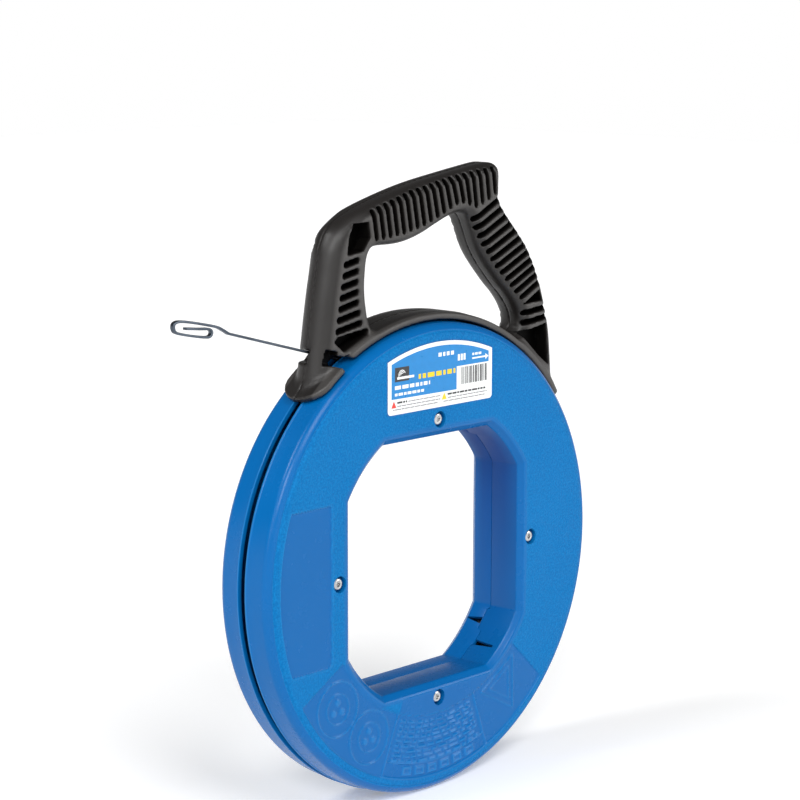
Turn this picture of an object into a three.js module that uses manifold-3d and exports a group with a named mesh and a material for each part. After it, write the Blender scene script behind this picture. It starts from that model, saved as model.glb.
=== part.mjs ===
// Fish tape reel: a two-part round case that holds a coil of spring-steel tape, and a two-part
// handle that slides round the case on a slot in its rim.
// Millimetres, +Z up. The origin is the centre of the case. The case turns about Y, its labelled
// face looks along -Y, and the tape leaves the handle's nose towards -X.

import * as THREE from 'three';
import { mergeVertices } from 'three/addons/utils/BufferGeometryUtils.js';
import Module from 'manifold-3d';

const wasm = await Module();
wasm.setup();

// ---------------------------------------------------------------- driving dimensions

const GAP = 0.3;
const RIM_R = 152.4;
const CASE_HALF = 22.6;
const WALL = 2.8;
const RIM_DRAFT = 1.1;
const SHOULDER_RADIAL = 10.4;
const SHOULDER_AXIAL = 6.7;
const SHOULDER_STEPS = 4;
const SLOT_HALF = 2.8;
const LIP_WIDTH = 1.1;
const LIP_HEIGHT = 0.4;
const CASE_SEGMENTS = 72;

const OPENING_HALF = 80;
const OPENING_R = 94;
const BEVEL_WIDTH = 4;
const BEVEL_DEPTH = 3.3;
const REAR_BEVEL_DEPTH = 4.6;
const SEAM_Y = 2.8;
const CORNER_SEGMENTS = 4;

const SCREW_CIRCLE_R = 90.6;
const SCREW_WELL_R = 5.25;
const SCREW_WELL_DEPTH = 4.1;
const SCREW_HEAD_R = 3.9;
const SCREW_HEAD_HEIGHT = 2.4;
const SCREW_SHANK_R = 2;
const SCREW_LENGTH = 34;
const BOSS_R = 5.5;
const BOSS_HEAD_R = 8;
const BOSS_HEAD_DEPTH = 6;

const LABEL_LEFT = -48;
const LABEL_RIGHT = 50;
const LABEL_BOTTOM = 98.5;
const LABEL_TOP_R = 140.3;
const LABEL_CORNER_R = 2.4;
const LABEL_THICK = 0.4;
const LABEL_RECESS = 0.9;

const TAPE_WIDTH = 3.2;
const TAPE_THICK = 1.5;
const TAPE_LENGTH = 36600;
const COIL_INNER_R = 99.5;
const TAPE_LINE_R = 110.9;
const TAPE_RISE_DEG = 15.4;
const TAPE_STRAIGHT = 197.7;

const HANDLE_HALF = 12.5;
const HANDLE_ROUND = 5.5;
const HANDLE_WEB = 1.5;
const NOSE_R = 12.4;
const BASE_INNER_R = 153;
const BASE_OUTER_R = 157.1;
const BASE_HALF = 15;
const BASE_FROM_DEG = 36;
const BASE_TO_DEG = 118;
const FOOT_OUTER_R = 157;
const FOOT_HALF = 18.8;
const FOOT_FROM_DEG = 121.8;
const FOOT_BEND_DEG = 127.5;
const FOOT_TO_DEG = 133.2;
const FOOT_ROOT = 5;
const BASE_GAP_TOP_R = 157.7;
const RAIL_WEB_HALF = 2.3;
const RAIL_HALF = 7;
const RAIL_INNER_R = 143.5;
const RAIL_OUTER_R = 148.9;
const SLOT_WIDTH = 3.7;

// Where the tape's last stretch is held, inside the case.
const ANCHOR_X = 89.5;
const ANCHOR_Z = 23;
const ANCHOR_PLATE_Y = 0.4;
const ANCHOR_PLATE_THICK = 1.2;
const ANCHOR_PLATE_LEFT = 3.4;
const ANCHOR_PLATE_RIGHT = 3;
const ANCHOR_PLATE_LOW = 5.5;
const ANCHOR_PLATE_HIGH = 6.6;
const ANCHOR_TAB_Y = -3.2;
const ANCHOR_POST_R = 3.5;
const ANCHOR_HOLE_TO_Y = 13;
const ANCHOR_HEAD_R = 3;
const ANCHOR_HEAD_HEIGHT = 1.8;
const ANCHOR_SHANK_R = 1.5;
const ANCHOR_SCREW_LENGTH = 11;

// The hook eye at the tape's free end, from the first bend round to the wire's end.
const HOOK = [
  [-165.6, 162],
  [-171, 164.4],
  [-184.1, 167.5],
  [-194.9, 169.6],
  [-200.4, 170],
  [-203.4, 168.9],
  [-203.6, 166],
  [-200.9, 163.6],
  [-189.2, 160.8],
  [-178.5, 159],
  [-175.2, 159.6],
  [-174.4, 161.9],
  [-176.7, 163.6],
  [-184.2, 164.4],
  [-194.5, 165.6],
];
const HOOK_STEPS = 44;

// The last stretch of tape, before it joins the coil's inside.
const TAIL_START = [[88.7, 30.2], [88.3, 36], [86.7, 44]];
const TAIL_DEGREES = [31.5, 36, 42, 48];
const TAIL_CLEARANCE = 0.6;
const TAIL_STEPS = 12;

// The grip's outline outside and inside, from the front leg over the top bar to the rear leg.
const HANDLE_OUTER = [
  [-101.5, 115],
  [-96.6, 144],
  [-94.3, 159],
  [-91.6, 175],
  [-88.8, 189],
  [-86.2, 202],
  [-83, 209.6],
  [-79.4, 214.6],
  [-73, 219],
  [-61, 224.3],
  [-48, 228.5],
  [-32, 232.8],
  [-16, 236.6],
  [0, 239.7],
  [20, 242.8],
  [40, 245.7],
  [56, 247.9],
  [63.4, 248.5],
  [68.6, 247],
  [71.4, 242],
  [71.4, 231],
  [71.6, 225.8],
  [74.4, 220.6],
  [81.9, 211.9],
  [91, 202.6],
  [100.3, 192],
  [107.8, 180.2],
  [112.9, 169.6],
  [116.7, 159.4],
  [120.7, 146.8],
  [123.8, 134],
  [125.7, 118],
  [127.1, 100],
  [127.6, 93],
];

const HANDLE_INNER = [
  [-53.2, 159.5],
  [-54.2, 165],
  [-55.3, 172],
  [-55.6, 180],
  [-55, 188],
  [-53.9, 195],
  [-51.6, 199.8],
  [-48.2, 202],
  [-43, 202.6],
  [-33, 202.5],
  [-24, 202.9],
  [-14, 204.5],
  [-3, 207.6],
  [8, 211.8],
  [20, 216.1],
  [30, 218.4],
  [36, 217.8],
  [40.6, 214.6],
  [45, 206.5],
  [50, 196],
  [56, 187],
  [65, 177],
  [74, 168],
  [82, 160.8],
  [88.5, 153.5],
  [91.8, 148],
  [93, 143],
  [92.4, 138.5],
];

// Ends of the finger ribs' slots: the far and near ends of each row, as outlines to step along.
const TOP_ROW_UPPER = [[-49.7, 223.5], [-13.9, 233.1], [22.7, 239.6], [61.9, 244.1]];
const TOP_ROW_LOWER = [
  [-46.9, 207.6],
  [-22.8, 210],
  [-4.7, 213.7],
  [13.6, 220.1],
  [25.8, 225.1],
  [31.4, 226.1],
  [37.8, 225],
  [44.3, 221.8],
  [50.4, 223.9],
  [57.8, 226.7],
  [63.9, 230],
];
const TOP_ROW_COUNT = 19;
const REAR_ROW_INNER = [
  [45.3, 213.5],
  [53.7, 198],
  [65.1, 184],
  [78.7, 171.5],
  [91.9, 159.2],
];
const REAR_ROW_OUTER = [
  [66.3, 224.1],
  [79, 209.5],
  [91.1, 195.6],
  [101.2, 181.8],
  [108.6, 167.6],
];
const REAR_ROW_COUNT = 12;
const FRONT_ROW_LEFT = [[-74.4, 193.4], [-81.6, 153.4]];
const FRONT_ROW_RIGHT = [[-64, 195.5], [-64.8, 182.4], [-64.4, 169.8], [-61.5, 156.9]];
const FRONT_ROW_COUNT = 7;
const LONE_SLOTS = [
  [[95.6, 148.2], [116.6, 150.4]],
  [[95.8, 141.6], [118, 144.2]],
];
const POCKETS = [
  [[-53.9, 218.3], [-66, 217.4], [-71.5, 209.1], [-73.1, 198.8], [-58.5, 200.6], [-52.2, 208.3]],
  [[-84.6, 147.2], [-81.6, 150.1], [-55.9, 153.1], [-54.4, 151.9], [-55.9, 148.8], [-76.1, 140.4]],
  [[93.3, 154.1], [113.3, 155.1], [110, 162.9]],
  [[89.6, 135.8], [107.8, 119.6], [120, 111], [117.6, 139.8], [105.4, 137.6]],
];

// The notch behind the nose below the tape, and the window over the tape on the labelled side.
const TAPE_NOTCH = [[-86.4, 140.1], [-120, 149.3], [-120, 134.9], [-86.4, 134.4]];
const TAPE_NOTCH_Y = -1.6;
const TAPE_WINDOW = [
  [-90.5, 143.3],
  [-93, 133.8],
  [-84.1, 132.4],
  [-80.6, 129.2],
  [-68.6, 134.5],
  [-68.6, 136.2],
  [-81.6, 138.7],
  [-81.6, 141.3],
];
const TAPE_WINDOW_Y = -5;

const HANDLE_SCREWS = {
  handle_screw_upper: [-80.2, 203.4, 5.6],
  handle_screw_lower: [-86.6, 151.4, 7.2],
  handle_screw_rear: [120.2, 105, 8],
};
const HANDLE_SCREW_SHANK_R = 1.7;
const HANDLE_SCREW_HEAD_R = 3;

const NOSE_LOW = [-88.6, 118];
const NOSE_HIGH = [-73.2, 207.4];
const RAIL_SPANS = [[42, 112, 12], [122.8, 129.6, 3]];
const TAPE_WAY_AT = [-84, 138.1];
const TAPE_WAY_HALF_LENGTH = 20;
const TAPE_WAY_HALF_HEIGHT = 1.2;
const TAPE_WAY_HALF_WIDTH = 2.3;
const HANDLE_SCREW_HEAD_HEIGHT = 2;
const HANDLE_SCREW_END_Y = -5;
const HANDLE_SCREW_HOLE_Y = -5.5;
const FEET_INNER_R = 128;

// Latch slots through the opening's wall: angle, wide and thin ends in Y, half widths there.
const FRONT_LATCH = [-49, 0.4, -14, 1.7, 0.6];
const REAR_LATCH = [-38.8, 4.6, 17.4, 2.4, 0.6];
const LATCH_FROM_R = 90;
const LATCH_TO_R = 100;

const SCREW_CLEARANCE = 0.4;
const HEAD_CLEARANCE = 0.5;
const CLEAR = 30;
const FAR = 300;

const rad = THREE.MathUtils.degToRad;

// ---------------------------------------------------------------- solids and booleans

function solid(geometry) {
  const g = geometry.clone();
  g.deleteAttribute('normal');
  g.deleteAttribute('uv');
  const merged = mergeVertices(g, 1e-4);
  return new wasm.Manifold(new wasm.Mesh({
    numProp: 3,
    vertProperties: new Float32Array(merged.attributes.position.array),
    triVerts: new Uint32Array(merged.index.array),
  }));
}

function geometryOf(manifold) {
  const mesh = manifold.getMesh();
  const g = new THREE.BufferGeometry();
  g.setAttribute('position', new THREE.BufferAttribute(new Float32Array(mesh.vertProperties), 3));
  g.setIndex(new THREE.BufferAttribute(new Uint32Array(mesh.triVerts), 1));
  g.computeVertexNormals();
  return g;
}

function union(solids) {
  return solids.reduce((a, b) => a.add(b));
}

// A body turned about Y from closed [radius, y] points that start and end on the axis, or close.
function turned(points, segments = CASE_SEGMENTS) {
  const outline = points.map(([r, y]) => new THREE.Vector2(r, y));
  return solid(new THREE.LatheGeometry(outline, segments));
}

function drum(r, y0, y1, segments = CASE_SEGMENTS) {
  return turned([[0, y0], [r, y0], [r, y1], [0, y1]], segments);
}

function polygon(points) {
  return new THREE.Shape(points.map(([x, z]) => new THREE.Vector2(x, z)));
}

// A shape drawn in X and Z, extruded from y0 to y1. bevel rounds both long edges inwards.
function slab(shape, y0, y1, bevel = 0, curveSegments = 8) {
  const g = new THREE.ExtrudeGeometry(shape, {
    depth: y1 - y0 - 2 * bevel,
    curveSegments,
    bevelEnabled: bevel > 0,
    bevelSize: bevel,
    bevelOffset: -bevel,
    bevelThickness: bevel,
    bevelSegments: 2,
  });
  g.translate(0, 0, -y1 + bevel);
  g.rotateX(Math.PI / 2);
  return solid(g);
}

// A cylinder along Y.
function post(x, z, r, y0, y1, sides = 20) {
  const g = new THREE.CylinderGeometry(r, r, y1 - y0, sides);
  g.translate(x, (y0 + y1) / 2, z);
  return solid(g);
}

// A closed body between two outlines of equal point count that lie at y0 and y1.
function loft(lower, y0, upper, y1) {
  const n = lower.length;
  const positions = [];
  lower.forEach(([x, z]) => positions.push(x, y0, z));
  upper.forEach(([x, z]) => positions.push(x, y1, z));
  const index = [];
  for (let i = 0; i < n; i += 1) {
    const j = (i + 1) % n;
    index.push(i, i + n, j, j, i + n, j + n);
  }
  const flat = lower.map(([x, z]) => new THREE.Vector2(x, z));
  THREE.ShapeUtils.triangulateShape(flat, []).forEach(([a, b, c]) => {
    index.push(a, b, c);
    index.push(a + n, c + n, b + n);
  });
  const g = new THREE.BufferGeometry();
  g.setAttribute('position', new THREE.Float32BufferAttribute(positions, 3));
  g.setIndex(index);
  return solid(g);
}

// A ring sector in X and Z between two radii and two angles, extruded from -half to half.
function sector(r0, r1, fromDeg, toDeg, half, curveSegments = 20) {
  const shape = new THREE.Shape();
  shape.absarc(0, 0, r1, rad(fromDeg), rad(toDeg), false);
  shape.absarc(0, 0, r0, rad(toDeg), rad(fromDeg), true);
  return slab(shape, -half, half, 0, curveSegments);
}

// A shape drawn in [tangential, y] at one angle of the case, extruded along the radius.
// Tangential is positive towards larger angles.
function radialPrism(points, atDeg, r0, r1) {
  const shape = new THREE.Shape(points.map(([s, y]) => new THREE.Vector2(-s, y)));
  const g = new THREE.ExtrudeGeometry(shape, { depth: r1 - r0, bevelEnabled: false });
  g.translate(0, 0, r0);
  g.rotateY(Math.PI / 2 - rad(atDeg));
  return solid(g);
}

function arcPoints(cx, cz, r, fromDeg, toDeg, steps) {
  const points = [];
  for (let i = 0; i <= steps; i += 1) {
    const a = rad(fromDeg + (toDeg - fromDeg) * (i / steps));
    points.push([cx + r * Math.cos(a), cz + r * Math.sin(a)]);
  }
  return points;
}

// The point at fraction t of the way along a list of points, counted by x.
function along(points, t) {
  const x = points[0][0] + (points[points.length - 1][0] - points[0][0]) * t;
  const i = Math.min(points.findIndex((p) => p[0] >= x - 1e-9), points.length - 1);
  if (i === 0) return points[0];
  const [a, b] = [points[i - 1], points[i]];
  return [x, a[1] + ((b[1] - a[1]) * (x - a[0])) / (b[0] - a[0])];
}

// ---------------------------------------------------------------- materials

const CASE_BLUE = { color: 0x0a6fc4, roughness: 0.42, metalness: 0 };
const HANDLE_BLACK = { color: 0x1b1a1a, roughness: 0.5, metalness: 0 };
const BRIGHT_STEEL = { color: 0xc4c7c8, roughness: 0.25, metalness: 1 };
const TAPE_STEEL = { color: 0x3c4653, roughness: 0.35, metalness: 1 };
const LABEL_FILM = { color: 0xf2f5f7, roughness: 0.3, metalness: 0 };

function named(name, manifold, look) {
  const mesh = new THREE.Mesh(geometryOf(manifold), new THREE.MeshStandardMaterial(look));
  mesh.name = name;
  return mesh;
}

// ---------------------------------------------------------------- case

// The hand opening: a square with its corners cut by an arc about the case centre.
function openingOutline(half, radius) {
  const edge = THREE.MathUtils.radToDeg(Math.acos(half / radius));
  const points = [];
  for (let k = 0; k < 4; k += 1) {
    points.push(...arcPoints(0, 0, radius, 90 * k + edge, 90 * k + 90 - edge, CORNER_SEGMENTS));
  }
  return points;
}

// Outside of one dished half, from the axis out to the rim, as [radius, distance from mid-plane].
function halfProfile() {
  const shoulder = [];
  const flatR = RIM_R - RIM_DRAFT - SHOULDER_RADIAL + 1;
  const rimR = RIM_R - RIM_DRAFT;
  for (let i = 0; i <= SHOULDER_STEPS; i += 1) {
    const a = rad(90 - (90 / SHOULDER_STEPS) * i);
    shoulder.push([
      flatR + (rimR - flatR) * Math.cos(a),
      CASE_HALF - SHOULDER_AXIAL * (1 - Math.sin(a)),
    ]);
  }
  return [
    [0, CASE_HALF],
    ...shoulder,
    [RIM_R - LIP_HEIGHT, SLOT_HALF + LIP_WIDTH],
    [RIM_R, SLOT_HALF + LIP_WIDTH],
    [RIM_R, SLOT_HALF],
    [RIM_R - WALL, SLOT_HALF],
    [RIM_R - WALL - 1.6, CASE_HALF - SHOULDER_AXIAL - 1],
    [RIM_R - WALL - 6, CASE_HALF - WALL],
    [0, CASE_HALF - WALL],
  ];
}

function screwPlaces() {
  return { top: 90, right: 0, bottom: 270, left: 180 };
}

function onCircle(r, deg) {
  return [r * Math.cos(rad(deg)), r * Math.sin(rad(deg))];
}

// side is -1 for the front half and 1 for the rear one. The profile is turned the right way out.
function dish(side) {
  const points = halfProfile().map(([r, d]) => [r, side * d]);
  return turned(side < 0 ? points : points.reverse());
}

function innerWall(y0, y1) {
  const outline = openingOutline(OPENING_HALF + WALL, OPENING_R + WALL);
  return loft(outline, y0, outline, y1);
}

function openingCut(faceY, bevelDepth) {
  const inner = openingOutline(OPENING_HALF, OPENING_R);
  const grow = 1.02 + BEVEL_WIDTH / bevelDepth;
  const outer = openingOutline(OPENING_HALF + BEVEL_WIDTH + grow, OPENING_R + BEVEL_WIDTH + grow);
  const side = Math.sign(faceY);
  const straight = loft(inner, -CASE_HALF - 5, inner, CASE_HALF + 5);
  const startY = faceY - side * bevelDepth;
  const endY = faceY + side * (bevelDepth * (grow / BEVEL_WIDTH));
  const bevel = side < 0 ? loft(outer, endY, inner, startY) : loft(inner, startY, outer, endY);
  return straight.add(bevel);
}

function labelShape(inset) {
  const left = LABEL_LEFT + inset;
  const right = LABEL_RIGHT - inset;
  const bottom = LABEL_BOTTOM + inset;
  const top = LABEL_TOP_R - inset;
  const r = LABEL_CORNER_R;
  const rightTop = THREE.MathUtils.radToDeg(Math.acos(right / top));
  const leftTop = THREE.MathUtils.radToDeg(Math.acos(left / top));
  return polygon([
    ...arcPoints(left + r, bottom + r, r, 180, 270, 3),
    ...arcPoints(right - r, bottom + r, r, 270, 360, 3),
    ...arcPoints(0, 0, top, rightTop, leftTop, 12),
  ]);
}

// A wedge-shaped latch slot in the opening's lower right corner, wide at wideY and thin at thinY.
function latchSlot([atDeg, wideY, thinY, wideHalf, thinHalf]) {
  const points = [
    [-wideHalf, wideY],
    [wideHalf, wideY],
    [thinHalf, thinY],
    [-thinHalf, thinY],
  ];
  return radialPrism(thinY < wideY ? points : points.reverse(), atDeg, LATCH_FROM_R, LATCH_TO_R);
}

function caseFrontShell() {
  const inside = -(CASE_HALF - WALL) - 0.1;
  const top = SEAM_Y - GAP / 2;
  let body = dish(-1).add(innerWall(inside, top));
  const cuts = [openingCut(-CASE_HALF, BEVEL_DEPTH)];
  Object.values(screwPlaces()).forEach((deg) => {
    const [x, z] = onCircle(SCREW_CIRCLE_R, deg);
    body = body.add(post(x, z, BOSS_HEAD_R, inside, inside + BOSS_HEAD_DEPTH, 16));
    body = body.add(post(x, z, BOSS_R, inside, top, 12));
    cuts.push(post(x, z, SCREW_WELL_R, -CASE_HALF - 1, -CASE_HALF + SCREW_WELL_DEPTH, 16));
    cuts.push(post(x, z, SCREW_SHANK_R + SCREW_CLEARANCE, -CASE_HALF, top + 1, 8));
  });
  cuts.push(slab(labelShape(-0.4), -CASE_HALF - 1, -CASE_HALF + LABEL_RECESS));
  cuts.push(latchSlot(FRONT_LATCH));
  return body.subtract(union(cuts));
}

function caseRearShell() {
  const inside = CASE_HALF - WALL + 0.1;
  const bottom = SEAM_Y + GAP / 2;
  let body = dish(1).add(innerWall(bottom, inside));
  const cuts = [openingCut(CASE_HALF, REAR_BEVEL_DEPTH)];
  Object.values(screwPlaces()).forEach((deg) => {
    const [x, z] = onCircle(SCREW_CIRCLE_R, deg);
    body = body.add(post(x, z, BOSS_R, bottom, inside, 12));
    cuts.push(post(x, z, SCREW_SHANK_R + SCREW_CLEARANCE, bottom - 1, inside - 2, 8));
  });
  const postTop = ANCHOR_PLATE_Y + ANCHOR_PLATE_THICK + GAP;
  body = body.add(post(ANCHOR_X, ANCHOR_Z, ANCHOR_POST_R, postTop, inside, 12));
  const holeR = ANCHOR_SHANK_R + SCREW_CLEARANCE;
  cuts.push(post(ANCHOR_X, ANCHOR_Z, holeR, postTop - 1, ANCHOR_HOLE_TO_Y, 8));
  cuts.push(latchSlot(REAR_LATCH));
  return body.subtract(union(cuts));
}

// A pan-head screw with a hexagon socket. Its head looks along lookY, -1 or 1.
function screw(x, z, headY, lookY, headR, headHeight, shankR, length, sides = 12) {
  const rounded = [
    [0, -length],
    [shankR, -length + shankR],
    [shankR, 0],
    [headR, 0],
    [headR, headHeight * 0.6],
    [headR * 0.7, headHeight],
    [0, headHeight],
  ];
  const points = rounded.map(([r, d]) => [r, lookY * d]);
  const body = turned(lookY < 0 ? points.reverse() : points, sides);
  const socketFrom = headHeight * 0.35 * lookY;
  const socketTo = (headHeight + 1) * lookY;
  const [y0, y1] = [Math.min(socketFrom, socketTo), Math.max(socketFrom, socketTo)];
  const socket = post(0, 0, headR * 0.42, y0, y1, 6);
  return body.subtract(socket).translate([x, headY, z]);
}

function caseScrew(deg) {
  const [x, z] = onCircle(SCREW_CIRCLE_R, deg);
  const seat = -CASE_HALF + SCREW_WELL_DEPTH - GAP;
  return screw(x, z, seat, -1, SCREW_HEAD_R, SCREW_HEAD_HEIGHT, SCREW_SHANK_R, SCREW_LENGTH);
}

function caseLabel() {
  const back = -CASE_HALF + LABEL_RECESS - GAP;
  return slab(labelShape(0), back - LABEL_THICK, back);
}

// ---------------------------------------------------------------- tape

// Strips lie flat round the case: their width runs along Y, their thickness across the path.
function strip(path) {
  const [outer, inner] = [[], []];
  path.forEach(([x, z], i) => {
    const [ax, az] = path[Math.max(i - 1, 0)];
    const [bx, bz] = path[Math.min(i + 1, path.length - 1)];
    const length = Math.hypot(bx - ax, bz - az);
    const nx = (-(bz - az) / length) * (TAPE_THICK / 2);
    const nz = ((bx - ax) / length) * (TAPE_THICK / 2);
    outer.push([x + nx, z + nz]);
    inner.push([x - nx, z - nz]);
  });
  return slab(polygon([...outer, ...inner.reverse()]), -TAPE_WIDTH / 2, TAPE_WIDTH / 2);
}

function smooth(points, steps) {
  const curve = new THREE.CatmullRomCurve3(points.map(([x, z]) => new THREE.Vector3(x, z, 0)));
  return curve.getSpacedPoints(steps).map((p) => [p.x, p.y]);
}

// The coil's outside radius leaves the straight lead tangent to it, and its width holds the tape.
function tapeCoil() {
  const outerR = TAPE_LINE_R - TAPE_THICK / 2 - GAP;
  const ringArea = Math.PI * (outerR ** 2 - COIL_INNER_R ** 2);
  const half = (TAPE_LENGTH * TAPE_WIDTH * TAPE_THICK) / ringArea / 2;
  return turned([
    [COIL_INNER_R, -half],
    [outerR, -half],
    [outerR, half],
    [COIL_INNER_R, half],
    [COIL_INNER_R, -half],
  ]);
}

// Straight from the coil's tangent point, out through the handle's nose, then the hook eye.
function tapeLead() {
  const tangent = onCircle(TAPE_LINE_R, 90 - TAPE_RISE_DEG);
  const end = [
    tangent[0] - TAPE_STRAIGHT * Math.cos(rad(TAPE_RISE_DEG)),
    tangent[1] + TAPE_STRAIGHT * Math.sin(rad(TAPE_RISE_DEG)),
  ];
  return strip([tangent, ...smooth([end, ...HOOK], HOOK_STEPS)]);
}

// The last stretch of tape, from the coil's inside to the anchor.
function tapeTail() {
  const radius = COIL_INNER_R - TAPE_THICK / 2 - TAIL_CLEARANCE;
  const curve = TAIL_DEGREES.map((deg) => onCircle(radius, deg));
  return strip(smooth([...TAIL_START, ...curve], TAIL_STEPS));
}

// A plate from lowZ to the clip's top edge, between two planes of Y.
function clipPlate(lowZ, y0, y1) {
  const [left, right] = [ANCHOR_X - ANCHOR_PLATE_LEFT, ANCHOR_X + ANCHOR_PLATE_RIGHT];
  const high = ANCHOR_Z + ANCHOR_PLATE_HIGH;
  return slab(polygon([[left, lowZ], [right, lowZ], [right, high], [left, high]]), y0, y1);
}

function tapeAnchorClip() {
  const top = ANCHOR_PLATE_Y + ANCHOR_PLATE_THICK;
  const plate = clipPlate(ANCHOR_Z - ANCHOR_PLATE_LOW, ANCHOR_PLATE_Y, top);
  const tabLow = ANCHOR_Z + ANCHOR_PLATE_HIGH - ANCHOR_PLATE_THICK;
  const tab = clipPlate(tabLow, ANCHOR_TAB_Y, top);
  const hole = post(ANCHOR_X, ANCHOR_Z, ANCHOR_SHANK_R + SCREW_CLEARANCE, -2, 3, 8);
  return plate.add(tab).subtract(hole);
}

function tapeAnchorScrew() {
  const seat = ANCHOR_PLATE_Y - GAP;
  return screw(
    ANCHOR_X, ANCHOR_Z, seat, -1,
    ANCHOR_HEAD_R, ANCHOR_HEAD_HEIGHT, ANCHOR_SHANK_R, ANCHOR_SCREW_LENGTH,
  );
}

// ---------------------------------------------------------------- handle

// The point at fraction t of a row's outline, with its corners counted as evenly spaced.
function stepAlong(points, t) {
  const s = t * (points.length - 1);
  const i = Math.min(Math.floor(s), points.length - 2);
  const f = s - i;
  return [0, 1].map((k) => points[i][k] * (1 - f) + points[i + 1][k] * f);
}

function slotShape([ax, az], [bx, bz], width) {
  const angle = THREE.MathUtils.radToDeg(Math.atan2(bz - az, bx - ax));
  const r = width / 2;
  return polygon([
    ...arcPoints(bx, bz, r, angle - 90, angle + 90, 2),
    ...arcPoints(ax, az, r, angle + 90, angle + 270, 2),
  ]);
}

function ribSlots() {
  const slots = [];
  for (let i = 0; i < TOP_ROW_COUNT; i += 1) {
    const t = i / (TOP_ROW_COUNT - 1);
    slots.push([along(TOP_ROW_LOWER, t), stepAlong(TOP_ROW_UPPER, t)]);
  }
  for (let i = 0; i < REAR_ROW_COUNT; i += 1) {
    const t = i / (REAR_ROW_COUNT - 1);
    slots.push([stepAlong(REAR_ROW_INNER, t), stepAlong(REAR_ROW_OUTER, t)]);
  }
  for (let i = 0; i < FRONT_ROW_COUNT; i += 1) {
    const t = i / (FRONT_ROW_COUNT - 1);
    slots.push([stepAlong(FRONT_ROW_LEFT, t), stepAlong(FRONT_ROW_RIGHT, t)]);
  }
  slots.push(...LONE_SLOTS);
  return slots.map(([a, b]) => slotShape(a, b, SLOT_WIDTH));
}

// The grip loop with rounded edges. Its feet run on below the rim and are trimmed there.
function gripLoop() {
  const feet = arcPoints(0, 0, FEET_INNER_R, 38, 128, 12);
  const shape = polygon([...HANDLE_OUTER, ...feet].reverse());
  const sill = arcPoints(0, 0, BASE_OUTER_R - 2 - HANDLE_ROUND, 58, 107, 8);
  shape.holes.push(new THREE.Path(
    [...HANDLE_INNER, ...sill].map(([x, z]) => new THREE.Vector2(x, z)),
  ));
  return slab(shape, -HANDLE_HALF, HANDLE_HALF, HANDLE_ROUND);
}

// The half-round front of the leg, with a ball where it turns into the top bar.
function nose() {
  const low = new THREE.Vector3(NOSE_LOW[0], 0, NOSE_LOW[1]);
  const high = new THREE.Vector3(NOSE_HIGH[0], 0, NOSE_HIGH[1]);
  const g = new THREE.CylinderGeometry(NOSE_R, NOSE_R, high.distanceTo(low), 24);
  const direction = high.clone().sub(low).normalize();
  const upright = new THREE.Vector3(0, 1, 0);
  g.applyQuaternion(new THREE.Quaternion().setFromUnitVectors(upright, direction));
  g.translate((low.x + high.x) / 2, 0, (low.z + high.z) / 2);
  const ball = new THREE.SphereGeometry(NOSE_R, 24, 10);
  ball.translate(high.x, 0, high.z);
  return solid(g).add(solid(ball));
}

// The rounded tongue that rests on the rim in front of the leg.
function foot() {
  const reach = rad(FOOT_TO_DEG - FOOT_BEND_DEG) * FOOT_OUTER_R;
  const back = -reach - FOOT_ROOT;
  const outline = [[back, -FOOT_HALF]];
  for (let i = -6; i <= 6; i += 1) {
    const a = rad(15 * i);
    outline.push([reach * Math.cos(a), FOOT_HALF * Math.sin(a)]);
  }
  outline.push([back, FOOT_HALF]);
  const ring = sector(BASE_INNER_R, FOOT_OUTER_R, FOOT_FROM_DEG, FOOT_TO_DEG + 2, CLEAR, 6);
  return ring.intersect(radialPrism(outline, FOOT_BEND_DEG, RAIL_INNER_R, FOOT_OUTER_R + CLEAR));
}

function rail(fromDeg, toDeg, steps) {
  const web = sector(RAIL_OUTER_R - 0.2, BASE_INNER_R + 0.5, fromDeg, toDeg, RAIL_WEB_HALF, steps);
  return web.add(sector(RAIL_INNER_R, RAIL_OUTER_R, fromDeg, toDeg, RAIL_HALF, steps));
}

// The straight way that the tape takes through the leg, along the tape's own line.
function tapeWay() {
  const shape = polygon([
    [-TAPE_WAY_HALF_LENGTH, -TAPE_WAY_HALF_HEIGHT],
    [TAPE_WAY_HALF_LENGTH, -TAPE_WAY_HALF_HEIGHT],
    [TAPE_WAY_HALF_LENGTH, TAPE_WAY_HALF_HEIGHT],
    [-TAPE_WAY_HALF_LENGTH, TAPE_WAY_HALF_HEIGHT],
  ]);
  const level = slab(shape, -TAPE_WAY_HALF_WIDTH, TAPE_WAY_HALF_WIDTH);
  return level.rotate([0, TAPE_RISE_DEG, 0]).translate([TAPE_WAY_AT[0], 0, TAPE_WAY_AT[1]]);
}

function handleCuts(side) {
  const [inner, outer] = [HANDLE_WEB + GAP / 2, HANDLE_HALF + 5];
  const [y0, y1] = side < 0 ? [-outer, -inner] : [inner, outer];
  const cuts = ribSlots().map((shape) => slab(shape, y0, y1));
  POCKETS.forEach((points) => cuts.push(slab(polygon(points), y0, y1)));
  return cuts;
}

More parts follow.
